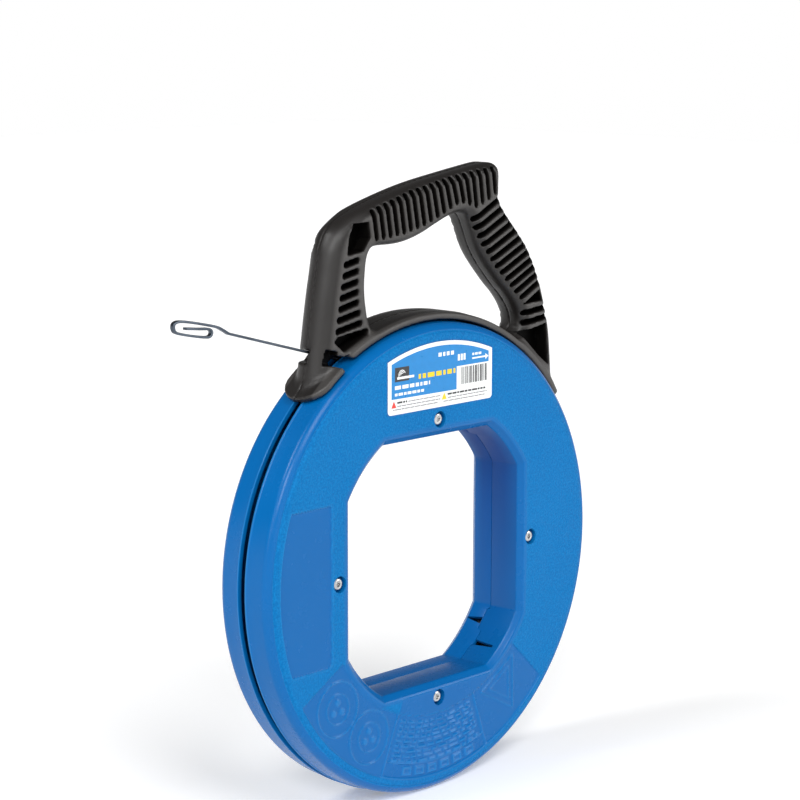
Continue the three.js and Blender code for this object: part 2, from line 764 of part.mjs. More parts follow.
function handleHalf(side) {
  const trim = drum(BASE_INNER_R, -CLEAR, CLEAR);
  let body = gripLoop().add(nose()).subtract(trim);
  body = union([
    body,
    sector(BASE_INNER_R, BASE_OUTER_R, BASE_FROM_DEG, BASE_TO_DEG, BASE_HALF, 20),
    foot(),
    ...RAIL_SPANS.map(([from, to, steps]) => rail(from, to, steps)),
  ]);
  const keep = slab(
    polygon([[-FAR, 0], [FAR, 0], [FAR, FAR], [-FAR, FAR]]),
    side < 0 ? -CLEAR : GAP / 2,
    side < 0 ? -GAP / 2 : CLEAR,
  );
  body = body.intersect(keep);
  const cuts = handleCuts(side);
  cuts.push(tapeWay());
  cuts.push(slab(polygon(TAPE_NOTCH), TAPE_NOTCH_Y, CLEAR));
  cuts.push(slab(polygon(TAPE_WINDOW), -CLEAR, TAPE_WINDOW_Y));
  cuts.push(sector(RAIL_INNER_R, BASE_GAP_TOP_R, BASE_TO_DEG, FOOT_FROM_DEG, CLEAR, 2));
  Object.values(HANDLE_SCREWS).forEach(([x, z, seatY]) => {
    const shankR = HANDLE_SCREW_SHANK_R + SCREW_CLEARANCE;
    cuts.push(post(x, z, shankR, HANDLE_SCREW_HOLE_Y, CLEAR, 8));
    cuts.push(post(x, z, HANDLE_SCREW_HEAD_R + HEAD_CLEARANCE, seatY - GAP, CLEAR, 12));
  });
  return body.subtract(union(cuts));
}

function handleScrew([x, z, seatY]) {
  const length = seatY - HANDLE_SCREW_END_Y;
  return screw(
    x, z, seatY, 1,
    HANDLE_SCREW_HEAD_R, HANDLE_SCREW_HEAD_HEIGHT, HANDLE_SCREW_SHANK_R, length,
  );
}

// ---------------------------------------------------------------- assembly

const reel = new THREE.Group();
reel.add(named('case_front_shell', caseFrontShell(), CASE_BLUE));
reel.add(named('case_rear_shell', caseRearShell(), CASE_BLUE));
Object.entries(screwPlaces()).forEach(([place, deg]) => {
  reel.add(named(`case_screw_${place}`, caseScrew(deg), BRIGHT_STEEL));
});
reel.add(named('case_label', caseLabel(), LABEL_FILM));
reel.add(named('tape_coil', tapeCoil(), TAPE_STEEL));
reel.add(named('tape_tail', tapeTail(), TAPE_STEEL));
reel.add(named('tape_anchor_clip', tapeAnchorClip(), BRIGHT_STEEL));
reel.add(named('tape_anchor_screw', tapeAnchorScrew(), BRIGHT_STEEL));

const handle = new THREE.Group();
handle.add(named('handle_front_half', handleHalf(-1), HANDLE_BLACK));
handle.add(named('handle_rear_half', handleHalf(1), HANDLE_BLACK));
Object.entries(HANDLE_SCREWS).forEach(([name, place]) => {
  handle.add(named(name, handleScrew(place), BRIGHT_STEEL));
});

const fishTapeReel = new THREE.Group();
fishTapeReel.add(reel, handle, named('tape_lead', tapeLead(), TAPE_STEEL));

export default fishTapeReel;
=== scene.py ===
import math

import bmesh
import bpy
import numpy as np
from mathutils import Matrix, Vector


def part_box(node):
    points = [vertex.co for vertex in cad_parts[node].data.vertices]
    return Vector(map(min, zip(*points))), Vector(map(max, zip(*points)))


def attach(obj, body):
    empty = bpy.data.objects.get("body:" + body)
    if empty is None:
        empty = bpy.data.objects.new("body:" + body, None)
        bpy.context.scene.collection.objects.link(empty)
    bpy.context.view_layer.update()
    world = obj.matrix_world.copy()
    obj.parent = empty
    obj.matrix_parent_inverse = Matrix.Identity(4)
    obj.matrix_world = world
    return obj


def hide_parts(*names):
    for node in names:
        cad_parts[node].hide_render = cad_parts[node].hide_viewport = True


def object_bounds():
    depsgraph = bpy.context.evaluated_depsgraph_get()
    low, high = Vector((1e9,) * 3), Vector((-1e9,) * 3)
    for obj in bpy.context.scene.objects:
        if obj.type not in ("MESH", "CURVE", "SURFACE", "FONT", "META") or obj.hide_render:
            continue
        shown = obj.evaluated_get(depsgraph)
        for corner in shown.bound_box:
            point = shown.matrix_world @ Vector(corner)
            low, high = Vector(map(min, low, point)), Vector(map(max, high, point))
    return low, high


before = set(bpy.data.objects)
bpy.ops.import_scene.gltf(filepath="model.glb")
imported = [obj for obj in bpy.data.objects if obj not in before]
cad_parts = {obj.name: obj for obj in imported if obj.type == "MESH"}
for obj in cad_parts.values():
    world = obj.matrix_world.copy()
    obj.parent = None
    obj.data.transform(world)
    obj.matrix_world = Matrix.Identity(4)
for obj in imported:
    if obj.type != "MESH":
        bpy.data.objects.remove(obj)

import openvdb
from mathutils import Matrix, Vector
from mathutils.geometry import tessellate_polygon

# Fish tape reel. Sizes below are in millimetres and angles in degrees, in the CAD model's frame:
# the case turns about Y, its labelled face looks along -Y, and the tape leaves towards -X.

MM = 0.001
CAD_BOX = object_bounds()

SHELL_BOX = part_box("case_front_shell")
COIL_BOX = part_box("tape_coil")

RIM_R = SHELL_BOX[1].x / MM
CASE_HALF = -SHELL_BOX[0].y / MM
SLOT_HALF = 2.8
WALL = 2.8
RIM_DRAFT = 1.1
SHOULDER_AXIAL = 6.7
FLAT_R = 141.9
FACE_DEPTH = CASE_HALF - 0.3
OPENING_HALF = 80.0
OPENING_R = 94.0
BEVEL = 4.0
BEVEL_DEPTH = {-1: 3.3, 1: 4.6}
SEAM_Y = 2.8
SEAM_GAP = 0.15
SCREW_CIRCLE_R = 90.6
SCREW_DEGREES = (0, 90, 180, 270)

TAPE_WIDTH = 3.2
TAPE_THICK = 1.5
TAPE_LINE_R = 110.9
TAPE_RISE = 15.4
TAPE_STRAIGHT = 197.7

HANDLE_HALF = 12.5
HANDLE_SEAM = 0.05
HANDLE_SCREWS = ("handle_screw_upper", "handle_screw_lower", "handle_screw_rear")
BASE_R = (153.0, 157.1)
BASE_HALF = 15.0
BASE_DEG = (36.0, 118.0)
FOOT_R = (153.0, 157.0)
FOOT_HALF = {-1: 18.8, 1: 16.2}  # the near side and the far side, which the photo shows narrower
FOOT_DEG = (121.8, 127.5, 133.2)


# ---------- mesh helpers

def add_object(name, verts, faces, materials, face_slots=None, sharp=32.0):
    """A mesh object from vertices in millimetres and faces of equal size, or of mixed size."""
    mesh = bpy.data.meshes.new(name)
    coords = np.asarray(verts, np.float64) * MM
    if isinstance(faces, np.ndarray):
        count, size = faces.shape
        mesh.vertices.add(len(coords))
        mesh.vertices.foreach_set("co", coords.ravel().astype(np.float32))
        mesh.loops.add(count * size)
        mesh.loops.foreach_set("vertex_index", faces.ravel().astype(np.int32))
        mesh.polygons.add(count)
        mesh.polygons.foreach_set("loop_start", np.arange(0, count * size, size, dtype=np.int32))
        mesh.update(calc_edges=True)
    else:
        mesh.from_pydata([tuple(v) for v in coords], [], faces)
    for material in materials:
        mesh.materials.append(material)
    if face_slots is not None:
        mesh.polygons.foreach_set("material_index", np.asarray(face_slots, np.int32))
    finish_shading(mesh, sharp)
    piece = bpy.data.objects.new(name, mesh)
    bpy.context.scene.collection.objects.link(piece)
    return piece


def finish_shading(mesh, sharp):
    mesh.validate(clean_customdata=False)
    mesh.polygons.foreach_set("use_smooth", np.ones(len(mesh.polygons), bool))
    mesh.set_sharp_from_angle(angle=math.radians(sharp))
    mesh.update()


def flip_if_inside_out(verts, faces):
    """Faces turned so that the closed mesh has a positive volume."""
    tri = np.concatenate([faces[:, [0, 1, 2]], faces[:, [0, 2, 3]]]) if faces.shape[1] == 4 else faces
    a, b, c = (verts[tri[:, k]] for k in range(3))
    volume = np.einsum("ij,ij->i", a, np.cross(b, c)).sum()
    return faces if volume > 0 else faces[:, ::-1]


def swept_ring(rows):
    """Quads between closed rows of equal length, the last row joined to the first: a closed ring."""
    n_rows, n_cols = len(rows), len(rows[0])
    index = np.arange(n_rows * n_cols).reshape(n_rows, n_cols)
    down = np.roll(index, -1, axis=0)
    right = np.roll(index, -1, axis=1)
    across = np.roll(down, -1, axis=1)
    faces = np.stack([index, right, across, down], -1).reshape(-1, 4)
    verts = np.concatenate(rows)
    return verts, flip_if_inside_out(verts, faces)


def lathe(profile, steps, radius_of=None):
    """A body turned about Y from [radius, y] points from its low end on the axis to its high one."""
    angle = np.linspace(0, 2 * math.pi, steps, endpoint=False)
    verts = [[0.0, profile[0][1], 0.0]]
    for k, (r, y) in enumerate(profile[1:-1], start=1):
        radius = np.full(steps, r) if radius_of is None else radius_of(k, r, angle)
        ring = np.stack([radius * np.cos(angle), np.full(steps, y), radius * np.sin(angle)], -1)
        verts.extend(ring.tolist())
    verts.append([0.0, profile[-1][1], 0.0])
    last = len(verts) - 1
    rows = len(profile) - 2
    faces = []
    for j in range(steps):
        jn = (j + 1) % steps
        faces.append((0, 1 + j, 1 + jn))
        for i in range(rows - 1):
            a, b = 1 + i * steps, 1 + (i + 1) * steps
            faces.append((a + j, b + j, b + jn, a + jn))
        top = 1 + (rows - 1) * steps
        faces.append((last, top + jn, top + j))
    return np.array(verts), faces


def prism(outline, y0, y1):
    """Vertices and faces of a flat plate: an outline in X and Z between two planes of Y."""
    n = len(outline)
    verts = [(x, y0, z) for x, z in outline] + [(x, y1, z) for x, z in outline]
    tris = tessellate_polygon([[Vector((x, z, 0)) for x, z in outline]])
    faces = [tuple(t) for t in tris] + [tuple(i + n for i in reversed(t)) for t in tris]
    for i in range(n):
        j = (i + 1) % n
        faces.append((i, j, j + n, i + n))
    return verts, faces


def arc(cx, cz, r, start, end, steps):
    angles = np.radians(np.linspace(start, end, steps + 1))
    return [(cx + r * math.cos(a), cz + r * math.sin(a)) for a in angles]


def smooth_path(points, steps):
    """A Catmull-Rom curve through the points, resampled evenly."""
    p = np.asarray(points, float)
    p = np.vstack([2 * p[0] - p[1], p, 2 * p[-1] - p[-2]])
    out = []
    for i in range(1, len(p) - 2):
        t = np.linspace(0, 1, 16, endpoint=False)[:, None]
        a, b, c, d = p[i - 1], p[i], p[i + 1], p[i + 2]
        out.append(0.5 * (2 * b + (c - a) * t + (2 * a - 5 * b + 4 * c - d) * t**2
                          + (3 * b - a - 3 * c + d) * t**3))
    curve = np.vstack([*out, p[-2:-1]])
    length = np.concatenate([[0], np.cumsum(np.linalg.norm(np.diff(curve, axis=0), axis=1))])
    at = np.linspace(0, length[-1], steps)
    return np.stack([np.interp(at, length, curve[:, k]) for k in range(curve.shape[1])], -1)


def combine(piece, tools, operation):
    """Adds closed tool objects to a closed piece, or cuts them out of it, and removes them."""
    for tool in tools:
        boolean = piece.modifiers.new("combine", "BOOLEAN")
        boolean.operation = operation
        boolean.solver = "MANIFOLD"
        boolean.object = tool
    apply_modifiers(piece)
    for tool in tools:
        bpy.data.objects.remove(tool)


def apply_modifiers(piece):
    graph = bpy.context.evaluated_depsgraph_get()
    mesh = bpy.data.meshes.new_from_object(piece.evaluated_get(graph))
    piece.modifiers.clear()
    piece.data = mesh


def post(x, z, r, y0, y1, steps=48):
    """A plain round bar along Y, to add to a piece or to cut out of it."""
    verts, faces = lathe([(0, y0), (r, y0), (r, y1), (0, y1)], steps)
    verts = verts + np.array([x, 0, z])
    return add_object("cutter", verts, faces, [])


def on_circle(r, degrees):
    return r * math.cos(math.radians(degrees)), r * math.sin(math.radians(degrees))


def middle_of(node):
    """The X and Z of the middle of a CAD node's box."""
    low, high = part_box(node)
    return (low.x + high.x) / 2 / MM, (low.z + high.z) / 2 / MM


# ---------- flat distance fields

def dist_segment(x, z, a, b):
    ax, az = a
    dx, dz = b[0] - ax, b[1] - az
    t = np.clip(((x - ax) * dx + (z - az) * dz) / (dx * dx + dz * dz), 0, 1)
    return np.hypot(x - ax - t * dx, z - az - t * dz)


def dist_polygon(x, z, points):
    """Signed distance to a closed outline, negative inside."""
    distance = np.full(x.shape, 1e9)
    inside = np.zeros(x.shape, bool)
    n = len(points)
    for i in range(n):
        (ax, az), (bx, bz) = points[i], points[(i + 1) % n]
        distance = np.minimum(distance, dist_segment(x, z, (ax, az), (bx, bz)))
        if az != bz:
            crosses = ((az > z) != (bz > z)) & (x < (bx - ax) * (z - az) / (bz - az) + ax)
            inside ^= crosses
    return np.where(inside, -distance, distance)


def dist_sector(r, angle, r0, r1, a0, a1):
    """Signed distance to a ring sector, near enough for edges a few millimetres wide."""
    middle, half = np.radians((a0 + a1) / 2), np.radians((a1 - a0) / 2)
    off = np.abs((angle - middle + math.pi) % (2 * math.pi) - math.pi)
    across = (off - half) * r
    radial = np.abs(r - (r0 + r1) / 2) - (r1 - r0) / 2
    return np.maximum(across, radial)


def step(d, width):
    """1 well inside (d < 0), 0 outside, smooth over width."""
    t = np.clip(0.5 - d / width, 0, 1)
    return t * t * (3 - 2 * t)


def ridge(d, half_width):
    t = np.clip(1 - np.abs(d) / half_width, 0, 1)
    return t * t * (3 - 2 * t)


# ---------- materials

def node_material(name):
    material = bpy.data.materials.new(name)
    material.use_nodes = True
    tree = material.node_tree
    shader = tree.nodes["Principled BSDF"]
    return material, tree, shader


def link(tree, a, b):
    tree.links.new(a, b)


def noise(tree, scale, detail=2.0, roughness=0.5, stretch=None):
    coords = tree.nodes.new("ShaderNodeTexCoord")
    out = coords.outputs["Object"]
    if stretch is not None:
        mapping = tree.nodes.new("ShaderNodeMapping")
        mapping.inputs["Scale"].default_value = stretch
        link(tree, out, mapping.inputs["Vector"])
        out = mapping.outputs["Vector"]
    node = tree.nodes.new("ShaderNodeTexNoise")
    node.inputs["Scale"].default_value = scale
    node.inputs["Detail"].default_value = detail
    node.inputs["Roughness"].default_value = roughness
    link(tree, out, node.inputs["Vector"])
    return node.outputs["Fac"]


def ramp(tree, value, low, high, out_low, out_high):
    node = tree.nodes.new("ShaderNodeMapRange")
    node.inputs["From Min"].default_value = low
    node.inputs["From Max"].default_value = high
    node.inputs["To Min"].default_value = out_low
    node.inputs["To Max"].default_value = out_high
    link(tree, value, node.inputs["Value"])
    return node.outputs["Result"]


def maths(tree, operation, a, b):
    node = tree.nodes.new("ShaderNodeMath")
    node.operation = operation
    for socket, value in zip(node.inputs, (a, b)):
        if isinstance(value, (int, float)):
            socket.default_value = value
        else:
            link(tree, value, socket)
    return node.outputs["Value"]


def mix_colour(tree, factor, a, b):
    node = tree.nodes.new("ShaderNodeMix")
    node.data_type = "RGBA"
    link(tree, factor, node.inputs["Factor"])
    for socket, value in ((node.inputs["A"], a), (node.inputs["B"], b)):
        if isinstance(value, tuple):
            socket.default_value = (*value, 1)
        else:
            link(tree, value, socket)
    return node.outputs["Result"]


def bump(tree, shader, height, distance, strength=1.0, strength_from=None):
    node = tree.nodes.new("ShaderNodeBump")
    node.inputs["Distance"].default_value = distance
    node.inputs["Strength"].default_value = strength
    if strength_from is not None:
        link(tree, strength_from, node.inputs["Strength"])
    link(tree, height, node.inputs["Height"])
    link(tree, node.outputs["Normal"], shader.inputs["Normal"])


def attribute(tree, name):
    node = tree.nodes.new("ShaderNodeAttribute")
    node.attribute_name = name
    return node.outputs["Fac"]


def case_blue():
    """Moulded blue plastic: spark-eroded where the grain attribute is 1, polished where it is 0, with
    painted shade on the opening's walls and painted highlights on edges and raised lines.
    """
    material, tree, shader = node_material("case_blue_plastic")
    grain = attribute(tree, "grain")
    painted_highlight = attribute(tree, "painted_highlight")
    fine = noise(tree, 760, 3, 0.6)
    cloud = noise(tree, 14, 3, 0.5)
    tint = ramp(tree, cloud, 0.3, 0.7, 0, 1)
    polished = mix_colour(tree, tint, (0.0002, 0.108, 0.345), (0.0003, 0.116, 0.365))
    eroded = mix_colour(tree, tint, (0.0004, 0.122, 0.36), (0.0008, 0.134, 0.385))
    base = mix_colour(tree, grain, polished, eroded)
    # painted shade: the opening's walls mixed towards a dark blue
    base = mix_colour(tree, attribute(tree, "painted_wall_shade"), base, (0.0001, 0.044, 0.22))
    speck = maths(tree, "MULTIPLY", ramp(tree, fine, 0.4, 0.64, 0, 0.6), grain)
    base = mix_colour(tree, speck, base, (0.006, 0.215, 0.53))
    # painted highlight: lighter blue on the rim's lip, the bevel's outer edge and the raised lines
    base = mix_colour(tree, maths(tree, "MULTIPLY", painted_highlight, 0.45), base, (0.03, 0.27, 0.62))
    link(tree, base, shader.inputs["Base Color"])
    scuff = ramp(tree, noise(tree, 55, 4, 0.65), 0.3, 0.7, -0.04, 0.05)
    rough = maths(tree, "ADD", maths(tree, "MULTIPLY", grain, 0.22), 0.25)
    rough = maths(tree, "ADD", rough, maths(tree, "MULTIPLY", attribute(tree, "painted_wall_shade"), 0.2))
    link(tree, maths(tree, "ADD", rough, scuff), shader.inputs["Roughness"])
    strength = maths(tree, "ADD", maths(tree, "MULTIPLY", grain, 0.9), 0.04)
    bump(tree, shader, fine, 0.0005, strength_from=strength)
    shader.inputs["IOR"].default_value = 1.49
    link(tree, ramp(tree, grain, 0, 1, 0.2, 0.08), shader.inputs["Specular IOR Level"])
    return material


def handle_black():
    """Moulded black plastic with a fine matt texture, with a painted grey highlight on the outer rib faces
    and painted near-black shade in the slots and pockets.
    """
    material, tree, shader = node_material("handle_black_plastic")
    fine = noise(tree, 1600, 3, 0.6)
    cloud = noise(tree, 30, 3, 0.6)
    tint = ramp(tree, cloud, 0.3, 0.75, 0, 1)
    base = mix_colour(tree, tint, (0.008, 0.0066, 0.006), (0.0125, 0.0107, 0.0098))
    # painted highlight: grey on the outer faces of the ribs
    base = mix_colour(tree, attribute(tree, "painted_highlight"), base, (0.095, 0.09, 0.086))
    # painted shade: near black with little specular in the slots and pockets
    painted_pit_shade = attribute(tree, "painted_pit_shade")
    base = mix_colour(tree, painted_pit_shade, base, (0.0012, 0.0011, 0.001))
    link(tree, ramp(tree, painted_pit_shade, 0, 1, 0.5, 0.04), shader.inputs["Specular IOR Level"])
    link(tree, base, shader.inputs["Base Color"])
    rough = ramp(tree, cloud, 0.25, 0.75, 0.36, 0.46)
    link(tree, rough, shader.inputs["Roughness"])
    bump(tree, shader, fine, 0.00022, 0.5)
    shader.inputs["IOR"].default_value = 1.5
    return material


def metal(name, dark, light, rough_low, rough_high, stretch):
    """Metal drawn or rolled along one way, which stretches its streaks."""
    material, tree, shader = node_material(name)
    streak = noise(tree, 420, 4, 0.65, stretch)
    cloud = noise(tree, 90, 3, 0.6)
    tint = ramp(tree, maths(tree, "MULTIPLY", maths(tree, "ADD", streak, cloud), 0.5), 0.35, 0.65, 0, 1)
    link(tree, mix_colour(tree, tint, dark, light), shader.inputs["Base Color"])
    link(tree, ramp(tree, streak, 0.3, 0.7, rough_low, rough_high), shader.inputs["Roughness"])
    shader.inputs["Metallic"].default_value = 1.0
    bump(tree, shader, streak, 0.00002, 0.6)
    return material


def printed(name, colour):
    """Printed vinyl film with a faint orange peel."""
    material, tree, shader = node_material(name)
    cloud = noise(tree, 260, 3, 0.6)
    shade = tuple(c * 0.94 for c in colour)
    link(tree, mix_colour(tree, ramp(tree, cloud, 0.35, 0.65, 0, 1), shade, colour),
         shader.inputs["Base Color"])
    link(tree, ramp(tree, cloud, 0.3, 0.7, 0.27, 0.36), shader.inputs["Roughness"])
    bump(tree, shader, noise(tree, 900, 2), 0.00004, 0.25)
    return material


BLUE = case_blue()
BLACK = handle_black()
ZINC = metal("zinc_plated_steel", (0.42, 0.42, 0.43), (0.72, 0.72, 0.71), 0.2, 0.34, (1, 0.2, 1))
TAPE = metal("blued_spring_steel", (0.05, 0.062, 0.082), (0.13, 0.155, 0.19), 0.26, 0.42, (0.08, 1, 0.08))


def paint_attribute(mesh, name, values):
    if name in mesh.attributes:
        mesh.attributes.remove(mesh.attributes[name])
    layer = mesh.attributes.new(name, "FLOAT", "POINT")
    layer.data.foreach_set("value", np.clip(values, 0, 1).astype(np.float32))


def vertex_array(mesh):
    co = np.empty(len(mesh.vertices) * 3, np.float32)
    mesh.vertices.foreach_get("co", co)
    return co.reshape(-1, 3).astype(float) / MM


# ---------- case

# the moulded panel below the opening: degrees from and to, and radii from and to
PANEL_SECTOR = (-150.0, -43.6, 101.0, 142.0)
PANEL_DEPTH = 0.7
PANEL_LINE_RISE = 0.75
LINE_HALF = 0.9
DIVIDER_DEGREES = (-112, -70.5)
DIVIDER_R = (101.5, 141.8)
# radius, and degrees from and to, of the arcs on the panel
PANEL_ARCS = ((131.5, -112, -70.5), (141.4, -112, -43.6))
RINGS = [((-92.3, -78.6), 17.5), ((-64.4, -102.8), 17.3)]
TRIANGLE = [(73.8, -77.2), (42.3, -97.1), (74.4, -113.8)]
SIDE_PANEL = {"right": -97.5, "low": -51.0, "high": 50.0, "left_r": 141.0, "corner": 4.0}
LABEL = {"left": -48.0, "right": 50.0, "bottom": 98.5, "top_r": 140.3, "corner": 2.4}
# degrees from and to, and the seam's shift: the latches' steps, which come again half a turn on
LATCH_STEPS = ((316.8, 326.5, 2.0), (309.5, 316.8, -1.4), (47.5, 58.3, 5.8))
LATCH_R = (90.0, 98.4)
# each latch slot: degrees, the Y of its wide and its thin end, and the half-widths there
FRONT_LATCH = (-49, 1.4, -14.5, 2.2, 0.8)
REAR_LATCH = (-38.8, 5.2, 17.8, 2.5, 0.5)
# the rounded lip and the slot's side, as steps outward from the rim's radius and away from the slot
RIM_LIP = ((-0.5, 1.9), (-0.42, 1.5), (-0.1, 1.2), (0, 0.9), (0, 0.35), (-0.12, 0.1), (-0.4, 0), (-WALL, 0))
GROOVE_DEPTH = 0.7
GROOVE_AT = 29
BOSS_R = 5.5
BOSS_HEAD_R = 8.0
BOSS_HEAD_DEPTH = 6.0
POST_ROOT = 0.4
WELL_R = 5.25
WELL_DEPTH = 4.1
SCREW_BORE_R = 2.4
ANCHOR_POST_R = 3.5
ANCHOR_POST_LOW = 1.9
ANCHOR_BORE_R = 1.9
ANCHOR_BORE_END = 13.0


def opening_radius(angle, half, radius):
    flat = np.maximum(np.abs(np.cos(angle)), np.abs(np.sin(angle)))
    return np.minimum(radius, half / flat)


def label_outline(inset):
    left, right = LABEL["left"] + inset, LABEL["right"] - inset
    bottom, top = LABEL["bottom"] + inset, LABEL["top_r"] - inset
    r = LABEL["corner"]
    a0, a1 = (math.degrees(math.acos(v / top)) for v in (right, left))
    return (arc(left + r, bottom + r, r, 180, 270, 6) + arc(right - r, bottom + r, r, 270, 360, 6)
            + arc(0, 0, top, a0, a1, 24))


def side_panel_outline():
    """The smooth panel left of the opening, with an arc about the case's centre on its outside."""
    right, low, high, left_r, r = SIDE_PANEL.values()
    small = r * 0.4
    a_low = 180 + math.degrees(math.asin(-low / left_r))
    a_high = 180 - math.degrees(math.asin(high / left_r))
    return (arc(right - r, low + r, r, 270, 360, 4) + arc(right - small, high - small, small, 0, 90, 4)
            + arc(0, 0, left_r, a_high, a_low, 24))


def text_rows(r, angle):
    """Low raised dashes that stand where a moulded note would be, in rows about the centre."""
    height = np.zeros_like(r)
    rng = np.random.default_rng(7)
    for radius in np.arange(104.2, 130, 3.15):
        start = -110.0
        while start < -73:
            length = rng.uniform(1.4, 4.2)
            d = dist_sector(r, angle, radius, radius + 1.5, start, min(start + length, -72.4))
            height = np.maximum(height, step(d, 0.7))
            start += length + 0.75
    for k in range(6):
        start = -104.5 + k * 5.1
        height = np.maximum(height, step(dist_sector(r, angle, 133.6, 139.2, start, start + 3.7), 0.8))
        hollow = step(dist_sector(r, angle, 135.2, 137.6, start + 0.7, start + 3.0), 0.8)
        height = height - hollow * (height > 0) * 0.9
    return height


def front_relief(x, z):
    """(height above the face, grain mask, mask of the thin raised lines) of the labelled face."""
    r, angle = np.hypot(x, z), np.arctan2(z, x)
    height, smooth = np.zeros_like(x), np.zeros_like(x)

    side = dist_polygon(x, z, side_panel_outline())
    height -= PANEL_DEPTH * step(side, 0.6)
    side_line = ridge(side - 0.5, LINE_HALF)
    height += 0.3 * side_line
    smooth = np.maximum(smooth, step(side, 0.6))

    label = dist_polygon(x, z, label_outline(-0.5))
    height -= 0.5 * step(label, 0.5)
    height += 0.26 * ridge(label - 1.4, 0.6)
    smooth = np.maximum(smooth, step(label, 0.5))

    crescent = np.maximum(dist_sector(r, angle, 60, 100.4, -112, -57), z + 84.6)
    height += 0.28 * step(crescent, 0.8)
    smooth = np.maximum(smooth, step(crescent, 0.6))

    a0, a1, r0, r1 = PANEL_SECTOR
    panel = dist_sector(r, angle, r0, r1, a0, a1)
    lines = np.zeros_like(x)
    for (cx, cz), radius in RINGS:
        rho = np.hypot(x - cx, z - cz)
        lines = np.maximum(lines, ridge(rho - radius, 0.95))
        lines = np.maximum(lines, 0.8 * ridge(rho - radius * 0.55, LINE_HALF))
        for k in range(3):
            px, pz = on_circle(radius * 0.24, 90 + 120 * k)
            dot = np.hypot(x - cx - px, z - cz - pz) - radius * 0.13
            lines = np.maximum(lines, 0.8 * step(dot, 0.7))
    tri = dist_polygon(x, z, TRIANGLE)
    lines = np.maximum(lines, ridge(tri, 0.95))
    lines = np.maximum(lines, 0.8 * ridge(tri + 4.2, LINE_HALF))
    for degrees in DIVIDER_DEGREES:
        d = dist_segment(x, z, *(on_circle(radius, degrees) for radius in DIVIDER_R))
        lines = np.maximum(lines, ridge(d, LINE_HALF))
    for radius, start, end in PANEL_ARCS:
        inside = dist_sector(r, angle, 90, 150, start, end) < 0
        lines = np.maximum(lines, ridge(r - radius, LINE_HALF) * inside)
    lines = np.maximum(lines, text_rows(r, angle))
    height += step(panel, 0.9) * (-PANEL_DEPTH + PANEL_LINE_RISE * lines)
    smooth = np.maximum(smooth, step(panel, 0.6))
    crest = np.maximum(side_line, step(panel, 0.9) * lines)

    for degrees in SCREW_DEGREES:
        cx, cz = on_circle(SCREW_CIRCLE_R, degrees)
        rho = np.hypot(x - cx, z - cz)
        height += 0.2 * ridge(rho - 6.1, 0.7)
    return height, 1 - smooth, crest


def rear_relief(x, z):
    """The hidden face: four round pads over the screw posts and a ring line."""
    r = np.hypot(x, z)
    height, smooth = 0.24 * ridge(r - 137.5, 0.7), np.zeros_like(x)
    for degrees in SCREW_DEGREES:
        cx, cz = on_circle(SCREW_CIRCLE_R, degrees)
        pad = np.hypot(x - cx, z - cz) - 5.6
        height -= 0.3 * step(pad, 0.6)
        smooth = np.maximum(smooth, step(pad, 0.6))
    return height, 1 - smooth, np.zeros_like(x)


def seam_height(angle):
    """Where the two shells meet on the opening's wall, with the steps of the latches."""
    a = np.degrees(angle) % 360
    y = np.full_like(angle, SEAM_Y)
    for start, end, shift in LATCH_STEPS:
        for turn in (0, 180):
            low, high = (start + turn) % 360, (end + turn) % 360
            y += shift * ((a > low) & (a < high))
    return y


def shell_rows(side, columns, face_rows, relief):
    """Closed rows of one case half, from the seam over the face and rim and back inside."""
    angle = np.linspace(0, 2 * math.pi, columns, endpoint=False)
    cos, sin = np.cos(angle), np.sin(angle)
    inner = opening_radius(angle, OPENING_HALF, OPENING_R)
    outer = opening_radius(angle, OPENING_HALF + BEVEL, OPENING_R + BEVEL)
    back = opening_radius(angle, OPENING_HALF + WALL, OPENING_R + WALL)
    depth = BEVEL_DEPTH[side]
    seam = side * seam_height(angle) + SEAM_GAP
    rows = []

    def row(radius, d):
        rows.append(np.stack([radius * cos, side * (d + np.zeros(columns)), radius * sin], -1))

    row(inner + 0.3, seam)
    row(inner + 0.08, seam + 0.1)
    row(inner, seam + 0.35)
    row(inner, (seam + FACE_DEPTH - depth) / 2)
    for t in (0, 0.35, 0.7, 1.0):
        row(inner + (outer - inner) * 0.16 * t * t, FACE_DEPTH - depth - 0.6 + 1.1 * t)
    for t in np.linspace(0.25, 0.8, 4):
        row(inner + (outer - inner) * t, FACE_DEPTH - depth * (1 - t))
    for t in np.radians([20, 45, 70]):
        row(outer - 0.8 + 1.7 * math.sin(t) ** 2, FACE_DEPTH - 0.66 * (1 - math.sin(t)))
    start = outer + 1.1
    for t in np.linspace(0, 1, face_rows) ** 0.75:
        radius = start + (FLAT_R - start) * t
        height, _, _ = relief(radius * cos, radius * sin)
        row(radius, FACE_DEPTH + np.minimum(height, CASE_HALF - FACE_DEPTH))
    rim = RIM_R - RIM_DRAFT
    for t in np.linspace(4, 90, 20):
        lean = math.radians(t)
        groove = GROOVE_DEPTH * math.exp(-((t - GROOVE_AT) / 2.8) ** 2)
        row(FLAT_R + (rim - FLAT_R) * math.sin(lean) - groove * 0.6,
            FACE_DEPTH - SHOULDER_AXIAL * (1 - math.cos(lean)) - groove)
    row(rim + 0.25, SLOT_HALF + 8.5)
    for outward, up in RIM_LIP:
        row(RIM_R + outward, SLOT_HALF + up)
    row(RIM_R - WALL - 1.6, CASE_HALF - SHOULDER_AXIAL - 1)
    row(RIM_R - WALL - 6, CASE_HALF - WALL)
    row(back + 0.5, CASE_HALF - WALL)
    row(back, CASE_HALF - WALL - 0.5)
    row(back, seam + 0.1)
    row(back - 0.2, seam)
    return rows


